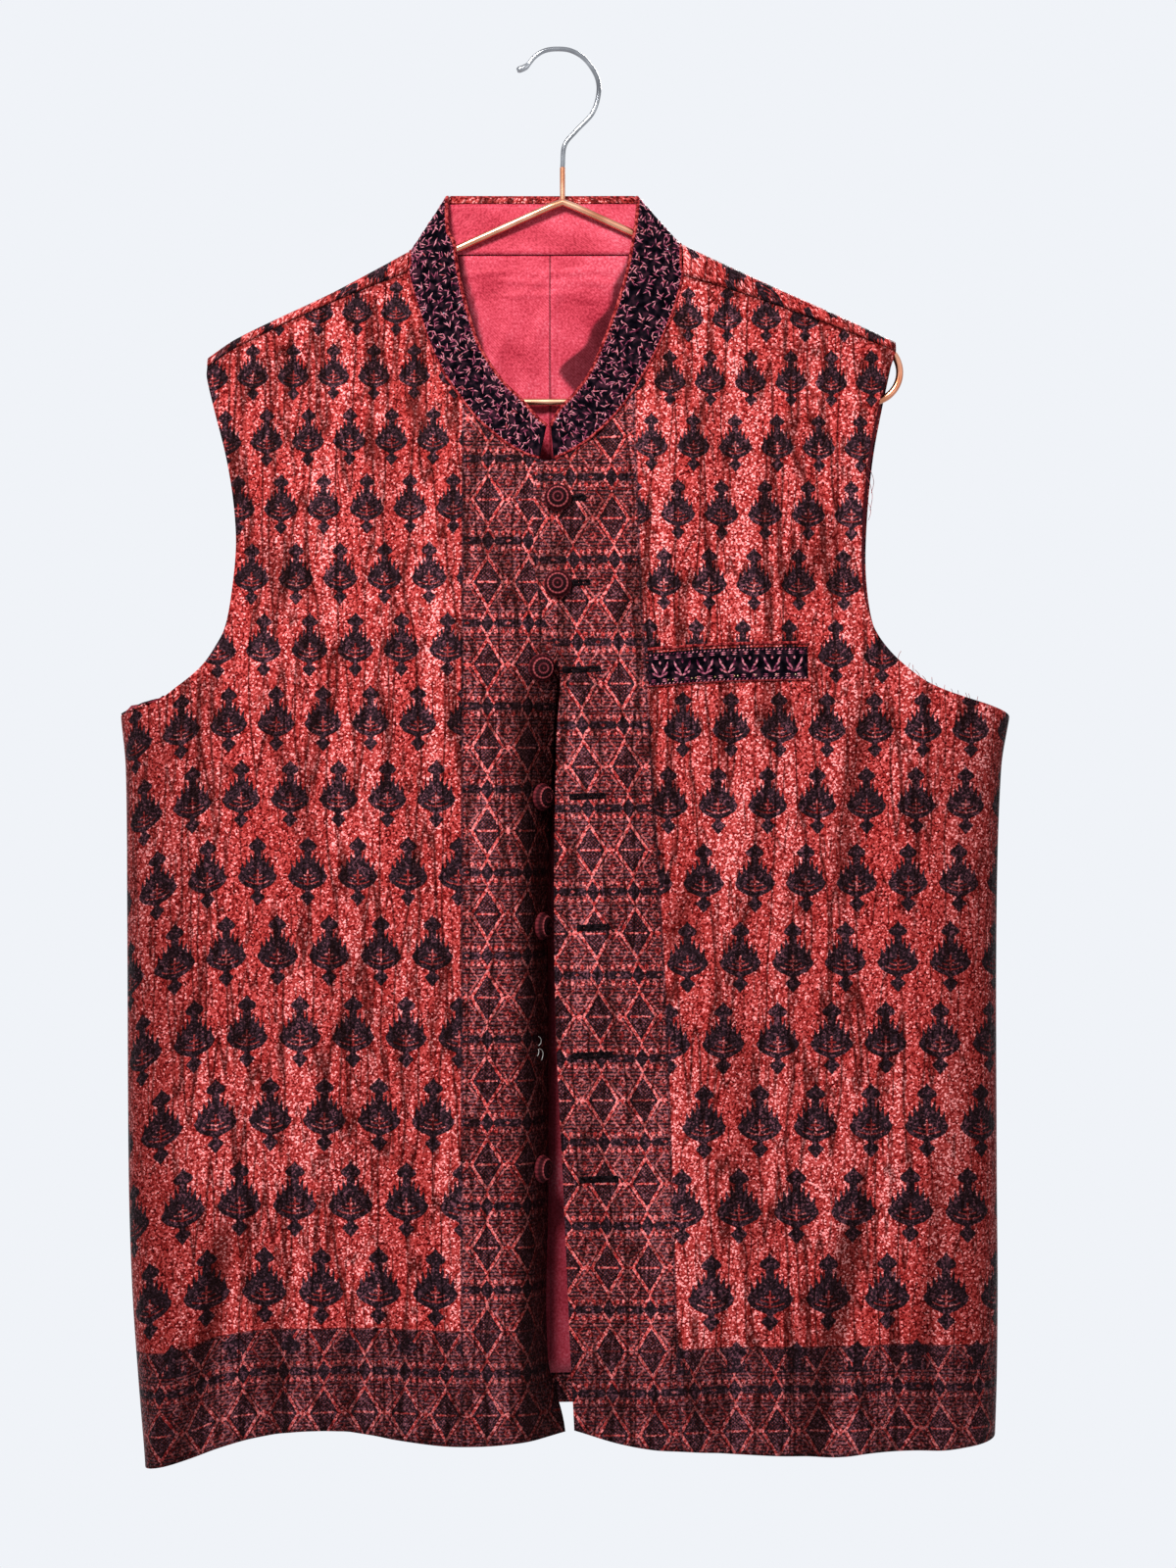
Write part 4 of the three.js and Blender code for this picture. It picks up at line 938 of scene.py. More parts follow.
    dip = add("Math", fold_line, -0.7, add("Math", waves, 3.2, add("Math", ripples, 1.3, operation="MULTIPLY"),
              operation="MULTIPLY_ADD"), operation="MULTIPLY_ADD")
    tall = add("Math", add("Math", slub, -0.30, dip, operation="MULTIPLY_ADD"),
               add("Math", fine, 0.26, operation="MULTIPLY"), operation="ADD")
    bump = add("Bump", named={"Strength": 0.8, "Distance": 0.0012, "Height": tall})
    rough = add("Math", grain, -0.45, 0.85, operation="MULTIPLY_ADD", use_clamp=True)
    # Little gloss and no sheen: the dark threads stay deep, and the pale slubs alone catch the light.
    shader = add("BsdfPrincipled", named={
        "Base Color": colour, "Roughness": rough, "Normal": bump, "IOR": 1.5, "Specular IOR Level": 0.07,
        "Specular Tint": linear("#ff9a90")})
    add("OutputMaterial", shader)
    return material


brocade = brocade_finish()
for obj in cloths.values():
    obj.data.materials.append(brocade)
# The facing is a narrow strip of the ground alone, so its chart stays half way between the buds, and it gets a
# little painted shade.
corner_count = len(collar_facing.data.loops)
for chart_name, spot in (("motif", (0.5, 0.5)), ("border", (-1, 1)), ("shade", (0.2, 0))):
    set_uv(collar_facing.data, chart_name, np.tile(spot, (corner_count, 1)))
collar_facing.data.materials.append(brocade)
print("brocade nodes:", len(brocade.node_tree.nodes))

# %% [markdown]
# ## Satin
#
# The lining is a polyester satin. Its floats run one way, so it has a soft lengthwise shine and shows
# every wrinkle. A fine rib drawn 0.9 mm apart stands for the weave, which is too fine to show. Satin
# turned from the light looks almost maroon, so a third map holds painted shade: beside the collar and
# deep inside the body.

# %% Satin finish
# the edge of the painted shade on each side of the neck: height, place.
SATIN_SHADE_RIGHT = [(-300, 60), (-232, 34), (-216, 14), (-207, 5), (-200, 1), (-194, 5), (-184, 17), (-172, 22),
               (-160, 32), (-147, 35), (-134, 42), (-120, 46)]
SATIN_SHADE_LEFT = [(-300, -38), (-220, -38), (-196, -42.5), (-159, -49.5), (-134, -56), (-100, -60)]


def satin_shade_chart(mesh, dark_at):
    spots = np.zeros(len(mesh.loops) * 2, np.float32)
    mesh.uv_layers["cut"].uv.foreach_get("vector", spots)
    u, v = spots.reshape(-1, 2).astype(float).T / MM
    set_uv(mesh, "shade", np.stack([dark_at(u, v), 0 * u], -1))


def satin_finish():
    material, add = finish("polyester_satin_woven")
    cut = add("UVMap", uv_map="cut")
    stretched = add("Mapping", named={"Vector": cut, "Scale": (1 / 0.035, 1 / 0.03, 1), "Rotation": (0, 0, 0.5)})
    wrinkle = add("TexNoise", named={"Vector": stretched, "Scale": 1.0, "Detail": 3.0, "Roughness": 0.5},
                  noise_dimensions="2D")
    rib = add("TexWave", named={"Vector": cut, "Scale": 0.314 / 0.0009, "Distortion": 1.5, "Detail": 1.0},
              wave_type="BANDS", bands_direction="DIAGONAL")
    speck = add("TexNoise", named={"Vector": cut, "Scale": 1 / 0.0015}, noise_dimensions="2D")
    value = add("Math", wrinkle, 0.75, add("Math", speck, 0.70, -0.21, operation="MULTIPLY_ADD"),
                operation="MULTIPLY_ADD")
    colour = add("ValToRGB", value, stops=[
        (0.22, linear("#b42238", DIM)), (0.45, linear("#de4458", 1.1 * DIM)),
        (0.62, linear("#ee566b", 1.2 * DIM)), (0.85, linear("#fb7f90", 1.3 * DIM))])
    # The shade map darkens the satin with painted shade; the centre-back seam is drawn as a dark line.
    shade = add("SeparateXYZ", add("UVMap", uv_map="shade"))
    seam = add("Math", add("SeparateXYZ", cut), -0.0035, 0.0006, operation="COMPARE")  # centre-back seam, 1.2 mm
    darker = add("Math", shade, add("Math", seam, 0.6, operation="MULTIPLY"), operation="MAXIMUM")
    lit = add("Math", 1.0, darker, operation="SUBTRACT")
    shown = add("VectorMath", colour, lit, operation="MULTIPLY")
    tall = add("Math", wrinkle, 1.3, add("Math", rib, 0.06, add("Math", seam, -0.5, operation="MULTIPLY"),
               operation="MULTIPLY_ADD"), operation="MULTIPLY_ADD")
    bump = add("Bump", named={"Strength": 0.7, "Distance": 0.002, "Height": tall})
    rough = add("Math", speck, 0.25, 0.30, operation="MULTIPLY_ADD")
    # A tinted gloss keeps the highlights pink, so the cloth never looks like plastic.
    shader = add("BsdfPrincipled", named={
        "Base Color": shown, "Roughness": rough, "Normal": bump, "IOR": 1.5, "Specular IOR Level": 0.22,
        "Specular Tint": linear("#ff9aa6"), "Anisotropic": 0.5})
    add("OutputMaterial", shader)
    return material


satin = satin_finish()
satin_shade_chart(lining.data, lambda u, v: np.maximum(
    np.maximum(0.80 * ease((u - smooth(SATIN_SHADE_RIGHT, v)) / 2.5), 0.70 * ease((smooth(SATIN_SHADE_LEFT, v) - u) / 2.0)),
    0.45 * ease((-300 - v) / 80)))  # painted shade deep inside the body, all over
# Painted shade on the collar lining's ends, beyond 72 mm from its middle.
satin_shade_chart(collar_satin.data, lambda u, v: 0.5 * ease((np.abs(u - (u.min() + u.max()) / 2) - 72) / 12))
lining.data.materials.append(satin)
collar_satin.data.materials.append(satin)


# %% [markdown]
# ## Small finishes
#
# Thread, cord, beads, wire and the dark ground of the trim each need one short net. Threads differ a
# little from stitch to stitch, so their colour comes from a noise with a grain of a few millimetres.

# %% Thread, cord, bead and ground finishes
def thread_finish(name, codes, grain, rough, coat=0.0, metal=0.0, shine=0.5, bump_mm=0.25):
    material, add = finish(name)
    place = add("TexCoord").outputs["Object"]
    blotch = add("TexNoise", named={"Vector": place, "Scale": 1 / grain, "Detail": 1.0})
    spread = add("Math", add("Math", blotch, 0.5, operation="SUBTRACT"), 2.2, 0.5, operation="MULTIPLY_ADD",
                 use_clamp=True)
    stops = [((k + 0.5) / len(codes), linear(code, DIM)) for k, code in enumerate(codes)]
    colour = add("ValToRGB", spread, stops=stops)
    strand = add("TexNoise", named={"Vector": place, "Scale": 1 / 0.0006, "Detail": 1.0})
    bump = add("Bump", named={"Strength": 0.5, "Distance": bump_mm * MM, "Height": strand})
    roughness = add("Math", strand, 0.2, rough - 0.1, operation="MULTIPLY_ADD")
    shader = add("BsdfPrincipled", named={
        "Base Color": colour, "Roughness": roughness, "Normal": bump, "Metallic": metal, "IOR": 1.5,
        "Specular IOR Level": shine, "Specular Tint": linear(codes[-1]), "Coat Weight": coat})
    add("OutputMaterial", shader)
    return material


trim_ground = thread_finish(  # soft pile that swallows light, so the trim's ground looks deepest
    "black_cotton_velvet_woven", ["#08060b", "#110c15", "#1e151d", "#40222f"], 0.004, 0.85, shine=0.03)
pink_thread = thread_finish(  # twisted filament thread, glossy, so single stitches catch the light
    "rayon_thread_twisted_pink", ["#4a1430", "#93405c", "#cc6f88", "#ffa8b4", "#a8404e"], 0.0035, 0.34, shine=0.3)
red_cord = thread_finish(  # matt cord with a broken colour from its twist
    "cotton_cord_twisted_red", ["#4a0c10", "#a62c30", "#e0605e"], 0.002, 0.6, shine=0.12)
black_thread = thread_finish(  # tight matt stitches
    "polyester_thread_twisted_black", ["#0a0709", "#171013", "#2a1f23"], 0.002, 0.6, shine=0.06)
white_thread = thread_finish(  # a plain tacking end
    "cotton_thread_white_spun", ["#cfc8c4", "#f4efec"], 0.003, 0.6)
gold_bead = thread_finish(  # clear glass over a gold lining, with one sharp highlight each
    "glass_bead_gold_lined", ["#b07a3a", "#e8c27a", "#fff0c8"], 0.002, 0.2, coat=0.6, metal=0.4)
sequin = thread_finish(  # a pale film that flashes
    "polyester_sequin_moulded", ["#d8d4e6", "#ffffff"], 0.002, 0.15, coat=0.8, metal=0.3)
print("finishes:", len(bpy.data.materials))


# %% Plated wire finishes
def wire_finish(name, codes, rough, coat):
    material, add = finish(name)
    place = add("TexCoord").outputs["Object"]
    drawn = add("Mapping", named={"Vector": place, "Scale": (1 / 0.03, 1 / 0.0008, 1 / 0.03)})
    streak = add("TexNoise", named={"Vector": drawn, "Scale": 1.0, "Detail": 2.0})
    smudge = add("TexNoise", named={"Vector": place, "Scale": 1 / 0.02, "Detail": 2.0})
    colour = add("ValToRGB", smudge, stops=[(0.35, linear(codes[0])), (0.65, linear(codes[1]))])
    roughness = add("Math", smudge, 0.18, rough, operation="MULTIPLY_ADD")
    bump = add("Bump", named={"Strength": 0.12, "Distance": 0.0002, "Height": streak})
    shader = add("BsdfPrincipled", named={
        "Base Color": colour, "Metallic": 1.0, "Roughness": roughness, "Normal": bump, "Coat Weight": coat})
    add("OutputMaterial", shader)
    return material


copper = wire_finish(  # warm metal under lacquer, so its highlight is a long soft streak
    "copper_plated_steel_wire_lacquered", ("#b9714f", "#dda184"), 0.16, 0.4)
chrome = wire_finish(  # nearly a mirror, so it takes the grey of the room and one hard highlight
    "chromed_steel_wire_polished", ("#74767a", "#a9abaf"), 0.06, 0.0)

# %% [markdown]
# ## The hanger
#
# Copper-coated wire is bent into a frame with rounded ends, and a bright hook is screwed into its neck.
# A curve with a round bevel is how wire is drawn, and it is turned into a mesh when it is right.

# %% Wire
def tube(name, points, radius, material, slot, closed=False, sides=3, radii=None, replaced=()):
    curve = bpy.data.curves.new(name, "CURVE")
    curve.dimensions, curve.bevel_depth, curve.bevel_resolution = "3D", radius * MM, sides
    curve.use_fill_caps = True
    for path in points if isinstance(points, list) and np.ndim(points[0]) == 2 else [points]:
        spline = curve.splines.new("POLY")
        spline.points.add(len(path) - 1)
        for k, (point, spot) in enumerate(zip(spline.points, path)):
            point.co = (*(np.asarray(spot, float) * MM), 1)
            point.radius = 1 if radii is None else radii[k]
        spline.use_cyclic_u = closed
    holder = bpy.data.objects.new(name + "_curve", curve)
    mesh = bpy.data.meshes.new_from_object(holder)
    bpy.data.objects.remove(holder)
    mesh.name = name
    mesh.shade_smooth()
    mesh.materials.clear()
    mesh.materials.append(material)
    return piece(name, mesh, slot, replaced)


MIDDLE, APEX, SLOPE, BAR, HALF, LOOP = 4.3, -94.1, 0.45, -220.2, 211.7, 18.7
lean = math.atan(SLOPE)
half_frame = {}
for side in (1, -1):
    reach = np.linspace(0.04, 1, 24) * (HALF - LOOP + LOOP * math.sin(lean))
    turn = np.linspace(math.pi / 2 - lean, -math.pi / 2, 25)[1:]
    centre = MIDDLE + side * (HALF - LOOP)
    arm = np.stack([MIDDLE + side * reach, 0 * reach, APEX - SLOPE * reach], -1)
    end = np.stack([centre + side * LOOP * np.cos(turn), 0 * turn, BAR + LOOP + LOOP * np.sin(turn)], -1)
    bar_run = np.stack([np.linspace(centre, MIDDLE, 12)[1:-1], np.zeros(10), np.full(10, BAR)], -1)
    half_frame[side] = np.concatenate([arm, end, bar_run])
loop_path = np.concatenate([
    [(MIDDLE, 0, APEX - 0.6)], half_frame[1], [(MIDDLE, 0, BAR)], half_frame[-1][::-1]])
neck_path = np.array([(MIDDLE, 0, z) for z in (-73, -80, -87, APEX - 2)])
frame_wire = tube("hanger_frame_wire", loop_path, 2.3, copper, "copper_wire", closed=True, sides=6,
                  replaced=["hanger_frame"])
neck_wire = tube("hanger_neck_wire", neck_path, 1.7, copper, "copper_wire", sides=6)
HOOK = [(4.3, -72.6), (5.6, -59), (12.9, -49.8), (23.1, -38.7), (27, -26), (25.6, -15.5), (18.5, -5),
        (9.5, 0.5), (0, 1.5), (-7.5, 0.2), (-13.5, -3.7), (-18.5, -9.5), (-24.3, -12)]
hook_line = evenly(HOOK, np.linspace(0, 1, 90))
hook_path = np.stack([hook_line[:, 0], 0 * hook_line[:, 0], hook_line[:, 1]], -1)
hook_radii = np.interp(np.arange(90), [0, 83, 85, 88, 89], [1, 1, 1.35, 1.4, 0.9])
hook = tube("hanger_hook_wire", hook_path, 1.5, chrome, "chrome_wire", sides=6, radii=hook_radii,
            replaced=["hanger_hook"])
print("frame wire:", len(frame_wire.data.vertices), "points")

# %% [markdown]
# ## Placing small things on cloth
#
# Stitches, beads and buttons sit on the hung cloth, so each takes its place and its turn from the
# surface under it. One small shape is made with bmesh and then repeated by arrays into one mesh.

# %% Small shapes on a surface
def dressed(name):
    surface = {"left_front": left_front, "right_front": right_front}[name]
    relief = relief_of(name)

    def points(u, v):
        u, v = np.asarray(u, float), np.asarray(v, float)
        across = surface(u + 0.3, v) - surface(u - 0.3, v)
        up = surface(u, v + 0.3) - surface(u, v - 0.3)
        normal = np.cross(across, up)
        normal = normal / np.linalg.norm(normal, axis=-1, keepdims=True)
        return surface(u, v) + normal * relief(u, v)[..., None]

    return points


def seats(surface, a, b, lift, turn, size, step=0.3, outward=1):
    """Matrices in metres for small shapes on a surface: x along it, y up it, z out of it."""
    a, b, lift, turn = (np.asarray(value, float) for value in np.broadcast_arrays(a, b, lift, turn))
    across = surface(a + step, b) - surface(a - step, b)
    up = surface(a, b + step) - surface(a, b - step)
    normal = outward * np.cross(across, up)
    normal = normal / np.linalg.norm(normal, axis=-1, keepdims=True)
    x = across / np.linalg.norm(across, axis=-1, keepdims=True)
    y = np.cross(normal, x)
    c, s = np.cos(turn)[..., None], np.sin(turn)[..., None]
    size = np.broadcast_to(size, (*a.shape, 3)) * MM
    found = np.zeros((*a.shape, 4, 4))
    found[..., :3, 0] = (x * c + y * s) * size[..., :1]
    found[..., :3, 1] = (y * c - x * s) * size[..., 1:2]
    found[..., :3, 2] = normal * size[..., 2:]
    found[..., :3, 3] = (surface(a, b) + normal * lift[..., None]) * MM
    found[..., 3, 3] = 1
    return found.reshape(-1, 4, 4)


def scatter(name, shape, places, material, slot):
    count = len(shape.vertices)
    spots = np.zeros(count * 3)
    shape.vertices.foreach_get("co", spots)
    places = np.concatenate(places) if isinstance(places, list) else places
    spots = spots.reshape(-1, 3)
    moved = np.einsum("nij,kj->nki", places[:, :3, :3], spots) + places[:, None, :3, 3]
    faces = [tuple(polygon.vertices) for polygon in shape.polygons]
    all_faces = [tuple(i + count * k for i in face) for k in range(len(places)) for face in faces]
    mesh = bpy.data.meshes.new(name)
    mesh.from_pydata(moved.reshape(-1, 3).tolist(), [], all_faces)
    mesh.shade_smooth()
    mesh.materials.append(material)
    return piece(name, mesh, slot)


def shape_of(make):
    bm = bmesh.new()
    make(bm)
    mesh = bpy.data.meshes.new("shape")
    bm.to_mesh(mesh)
    bm.free()
    return mesh


def make_stitch(bm):
    # a thread drawn tight between two holes: a bar one unit long, thick in the middle, with its ends down
    bmesh.ops.create_cube(bm, size=1.0)
    bmesh.ops.subdivide_edges(bm, edges=[e for e in bm.edges if abs(e.verts[0].co.x - e.verts[1].co.x) > 0.5],
                              cuts=2)
    for v in bm.verts:
        ends = (abs(v.co.x) / 0.5) ** 2
        v.co.y *= 1 - 0.45 * ends
        v.co.z = v.co.z * (1 - 0.4 * ends) - 0.5 * ends
    bmesh.ops.bevel(bm, geom=[e for e in bm.edges if e.calc_face_angle(0) > 1.2 and
                    abs(e.verts[0].co.x - e.verts[1].co.x) > 0.1],
                    offset=0.22, segments=1, profile=0.5, material=-1, affect="EDGES")


def make_bead(bm):
    bmesh.ops.create_icosphere(bm, subdivisions=1, radius=0.5)


stitch, bead = shape_of(make_stitch), shape_of(make_bead)
print("stitch faces:", len(stitch.polygons), "bead faces:", len(bead.polygons))

# %% [markdown]
# ## Embroidery on the collar
#
# Short stitches of twisted rayon stand in threes round small triangles, with a fourth laid across, over
# black velvet, and a chain runs along each edge. The threes are set out in rows along the band and
# shifted by half, as an embroiderer spaces them, and each is turned and placed a little.

# %% Collar embroidery
rng = np.random.default_rng(7)
middle_line = mix(*(through(edge, np.linspace(0, STATIONS, 900)) for edge in (collar_low, collar_high)), 0.5)
collar_run = np.concatenate([[0], np.cumsum(np.linalg.norm(np.diff(middle_line, axis=0), axis=1))])
print("collar length:", round(collar_run[-1]), "mm")


def on_collar(run, share):
    station = np.interp(run, collar_run, np.linspace(0, STATIONS, 900))
    low, high = through(collar_low, station), through(collar_high, station)
    return mix(low, high, np.asarray(share / 100)[..., None])


def collar_seats(run, share, lift, turn, size):
    return seats(on_collar, run, share, lift, turn, size, step=0.6, outward=COLLAR_OUT)


probe = seats(on_collar, np.array([60.0]), np.array([50.0]), 0, 0, 1, step=0.6)[0]
COLLAR_OUT = 1 if probe[1, 2] < 0 else -1
stars, beads_at = [], []
for row, share in enumerate((13, 32, 51, 70, 88)):
    runs = np.arange(5 + 3.9 * (row % 2), collar_run[-1] - 3, 7.8)
    runs = runs + rng.normal(0, 0.7, runs.size)
    shares = share + rng.normal(0, 1.8, runs.size)
    turn = rng.uniform(0, 2 * math.pi, runs.size)
    for arm in range(4):
        way = turn + arm * math.tau / 3 + rng.normal(0, 0.25, runs.size)
        reach = np.full(runs.size, 1.9 if arm < 3 else 0.4)
        angle = way + (math.pi / 2 if arm < 3 else 0.4)
        length = rng.uniform(3.4, 4.8, runs.size)
        spot_a, spot_b = runs + reach * np.cos(way), shares + reach * np.sin(way) * 2.5
        size = np.stack([length, np.full(runs.size, 0.68), np.full(runs.size, 0.65)], -1)
        keep = (rng.uniform(size=runs.size) < 0.86) & (spot_b > 3) & (spot_b < 97)
        stars.append(collar_seats(spot_a[keep], spot_b[keep], 0.2, angle[keep], size[keep]))
    sparkle = rng.uniform(size=runs.size) < 0.06
    beads_at.append(collar_seats(runs[sparkle], shares[sparkle], 0.6, 0, (1.1, 1.1, 0.7)))
for share, lean_way in ((4, 1), (96, -1)):
    runs = np.arange(2, collar_run[-1] - 1, 2.9)
    angle = lean_way * (0.9 * (np.arange(runs.size) % 2 * 2 - 1))
    stars.append(collar_seats(runs, np.full(runs.size, share), 0.15, angle, (3.0, 0.7, 0.65)))
extra = 300
stars.append(collar_seats(rng.uniform(4, collar_run[-1] - 4, extra), rng.uniform(5, 95, extra), 0.1,
                          rng.uniform(0, math.pi, extra), (3.0, 0.6, 0.5)))
collar_stitches = scatter("collar_stitches", stitch, stars, pink_thread, "embroidered_trim")
collar_sequins = scatter("collar_sequins", bead, beads_at, sequin, "embroidered_trim")
collar.data.materials.append(trim_ground)
print("collar stitches:", len(collar_stitches.data.polygons), "faces")

# %% [markdown]
# A thin cord is whipped along the seam of the band and along its free edge.

# %% Collar cords
def collar_line(share, lift):
    runs = np.linspace(0, collar_run[-1], 420)
    return collar_seats(runs, np.full(420, share), lift, 0, 1)[:, :3, 3] / MM


seam_cord = tube("collar_seam_cord", collar_line(0.5, 0.1), 0.85, red_cord, "embroidered_trim", sides=2)
edge_cord = tube("collar_edge_cord", collar_line(99.8, -1.0), 1.35, red_cord, "embroidered_trim", sides=3)

# %% [markdown]
# ## The pocket welt
#
# A strip of the same trim is set slanting over the breast pocket: seven small tulips of pink thread
# between pairs of dashes, with gold beads along the foot, under a narrow edge of brocade.

# %% Welt
WELT_LEFT, WELT_RIGHT, WELT_LOW, WELT_HIGH, WELT_RISE, WELT_BOW = 57.5, 156, -399.5, -380.5, 4.5, 1.2
on_left = dressed("left_front")


def on_welt(x, share):
    s = (x - WELT_LEFT) / (WELT_RIGHT - WELT_LEFT)
    return on_left(x, mix(WELT_LOW, WELT_HIGH, share / 100) + WELT_RISE * s + WELT_BOW * np.sin(math.pi * s))


def welt_net(share_from, share_to, rows, lift):
    x, share = np.meshgrid(np.linspace(WELT_LEFT, WELT_RIGHT, 80), np.linspace(share_from, share_to, rows))
    places = seats(on_welt, x, share, lift, 0, 1)[:, :3, 3].reshape(*x.shape, 3) / MM
    return places, np.stack([x, share * 0.19 - 390], -1)


welt_points, welt_flat = welt_net(0, 100, 16, 1.75)
welt = piece("pocket_welt_band", net_mesh("pocket_welt", welt_points, welt_flat, (0, -1, 0)), "embroidered_trim",
             ["pocket_welt"], WELT_WALL)
welt.data.materials.append(trim_ground)
strip_points, strip_flat = welt_net(99, 116, 5, 0.95)
welt_strip = piece("pocket_edge_strip", net_mesh("pocket_edge", strip_points, strip_flat, (0, -1, 0)), "brocade",
                   (), 0.8)
chart("left_front", welt_strip.data)
welt_strip.data.materials.append(brocade)
tulips = WELT_LEFT + 7 + np.arange(7) * 13.9
parts = []
for side in (-1, 1):
    for gap, high, angle, length in (
            (2.5, 44, 1.0, 6.6), (4.3, 60, 1.3, 5.0), (1.3, 28, 0.5, 3.8), (3.6, 34, 0.7, 3.0)):
        parts.append(seats(on_welt, tulips + side * gap, np.full(7, float(high)), 1.95, side * angle,
                           (length, 1.25, 0.95)))
parts.append(seats(on_welt, tulips, np.full(7, 70.0), 1.95, math.pi / 2, (2.4, 1.3, 0.9)))
dashes = np.arange(WELT_LEFT + 3, WELT_RIGHT - 2, 6.95)
for share in (10, 16, 84, 90):
    parts.append(seats(on_welt, dashes + (1.5 if share > 50 else 0), np.full(dashes.size, float(share)), 1.9, 0,
                       (3.3, 0.8, 0.7)))
rim = np.arange(WELT_LEFT + 1, WELT_RIGHT, 2.4)
for share in (2.5, 97.5):
    parts.append(seats(on_welt, rim, np.full(rim.size, share), 1.75, 0.6, (2.3, 0.8, 0.7)))
welt_stitches = scatter("pocket_stitches", stitch, parts, pink_thread, "embroidered_trim")
gold_x = WELT_LEFT + np.array([12, 15, 26.5, 29, 41, 53, 55, 66, 79, 91])
welt_beads = scatter("pocket_beads", bead, seats(on_welt, gold_x, np.full(10, 13.0), 2.2, 0, (1.2, 1.2, 1.0)),
                     gold_bead, "embroidered_trim")


def welt_line(share, lift):
    x = np.linspace(WELT_LEFT - 0.5, WELT_RIGHT + 0.5, 90)
    return seats(on_welt, x, np.full(90, float(share)), lift, 0, 1)[:, :3, 3] / MM


# The pocket's mouth is a slit under a rolled edge; a black cord lies in it as painted shadow, and a cord closes
# the foot of the welt.
rolled_edge = tube("pocket_rolled_edge", welt_line(118, 1.2), 1.0, red_cord, "embroidered_trim", sides=3)
slit = tube("pocket_slit_shadow_cord", welt_line(102, 1.3), 0.6, black_thread, "embroidered_trim", sides=2)
foot_cord = tube("pocket_foot_cord", welt_line(-2, 0.9), 0.6, red_cord, "embroidered_trim", sides=2)
print("welt stitches:", len(welt_stitches.data.polygons), "faces")

# %% [markdown]
# ## Buttons and buttonholes
#
# The buttons are domes covered in cloth and worked round with rings of thread. A profile with three
# ridges is spun about its axis. Each buttonhole is a slit closed by two rows of upright stitches.

# %% Buttons
def make_button(bm):
    profile = [(0.0, 1.0), (1.4, 1.02), (2.2, 0.93), (3.0, 0.9), (3.7, 1.0), (4.4, 0.92), (5.2, 0.80),
               (6.0, 0.84), (6.7, 0.72), (7.4, 0.52), (8.0, 0.42), (8.5, 0.28), (8.3, 0.12), (7.2, 0.0),
               (0.0, 0.0)]
    start = [bm.verts.new((r, 0, h * 7)) for r, h in profile]
    for a, b in zip(start, start[1:]):
        bm.edges.new((a, b))
    bmesh.ops.spin(bm, geom=bm.verts[:] + bm.edges[:], cent=(0, 0, 0), axis=(0, 0, 1), angle=2 * math.pi,
                   steps=40, use_merge=True)
    bmesh.ops.remove_doubles(bm, verts=bm.verts[:], dist=0.001)
    bmesh.ops.recalc_face_normals(bm, faces=bm.faces[:])


button_shape = shape_of(make_button)
button_spots = np.zeros(len(button_shape.vertices) * 3)
button_shape.vertices.foreach_get("co", button_spots)
button_spots = button_spots.reshape(-1, 3)


def button_finish():
    material, add = finish("silk_covered_button_embroidered")
    ring = add("SeparateXYZ", add("UVMap", uv_map="ring"))
    spokes = add("Math", add("Math", ring.outputs[1], 18.0, operation="MULTIPLY"), operation="SINE")
    cut = add("UVMap", uv_map="ring")
    fleck = add("TexNoise", named={"Vector": cut, "Scale": 34.0, "Detail": 1.0}, noise_dimensions="2D")
    wander = add("Math", fleck, 0.10, add("Math", ring, -0.05, operation="ADD"), operation="MULTIPLY_ADD")
    colour = add("ValToRGB", wander, stops=[
        (0.0, linear("#b84c56", DIM)), (0.10, linear("#300f15", DIM)), (0.26, linear("#1e0b10", DIM)),
        (0.35, linear("#b8505a", DIM)), (0.42, linear("#260e14", DIM)), (0.64, linear("#140a0e", DIM)),
        (0.72, linear("#e2686e", 1.1 * DIM)), (0.79, linear("#4c141a", DIM)), (0.90, linear("#2a0f15", DIM)),
        (1.0, linear("#8c323a", DIM))])
    worked = add("Math", spokes, 0.30, 0.85, operation="MULTIPLY_ADD")
    flecked = add("Math", fleck, 1.1, 0.45, operation="MULTIPLY_ADD")
    shown = add("VectorMath", colour, add("Math", worked, flecked, operation="MULTIPLY"), operation="MULTIPLY")
    tall = add("Math", spokes, 0.5, add("Math", fleck, 0.6, operation="MULTIPLY"), operation="MULTIPLY_ADD")
    bump = add("Bump", named={"Strength": 0.6, "Distance": 0.0005, "Height": tall})
    rough = add("Math", fleck, 0.3, 0.35, operation="MULTIPLY_ADD")
    # Wound silk shines only where a thread crosses the light, so the gloss is low and broken by the bump.
    shader = add("BsdfPrincipled", named={
        "Base Color": shown, "Roughness": rough, "Normal": bump, "IOR": 1.5, "Specular IOR Level": 0.12,
        "Specular Tint": linear("#ff9098")})
    add("OutputMaterial", shader)
    return material


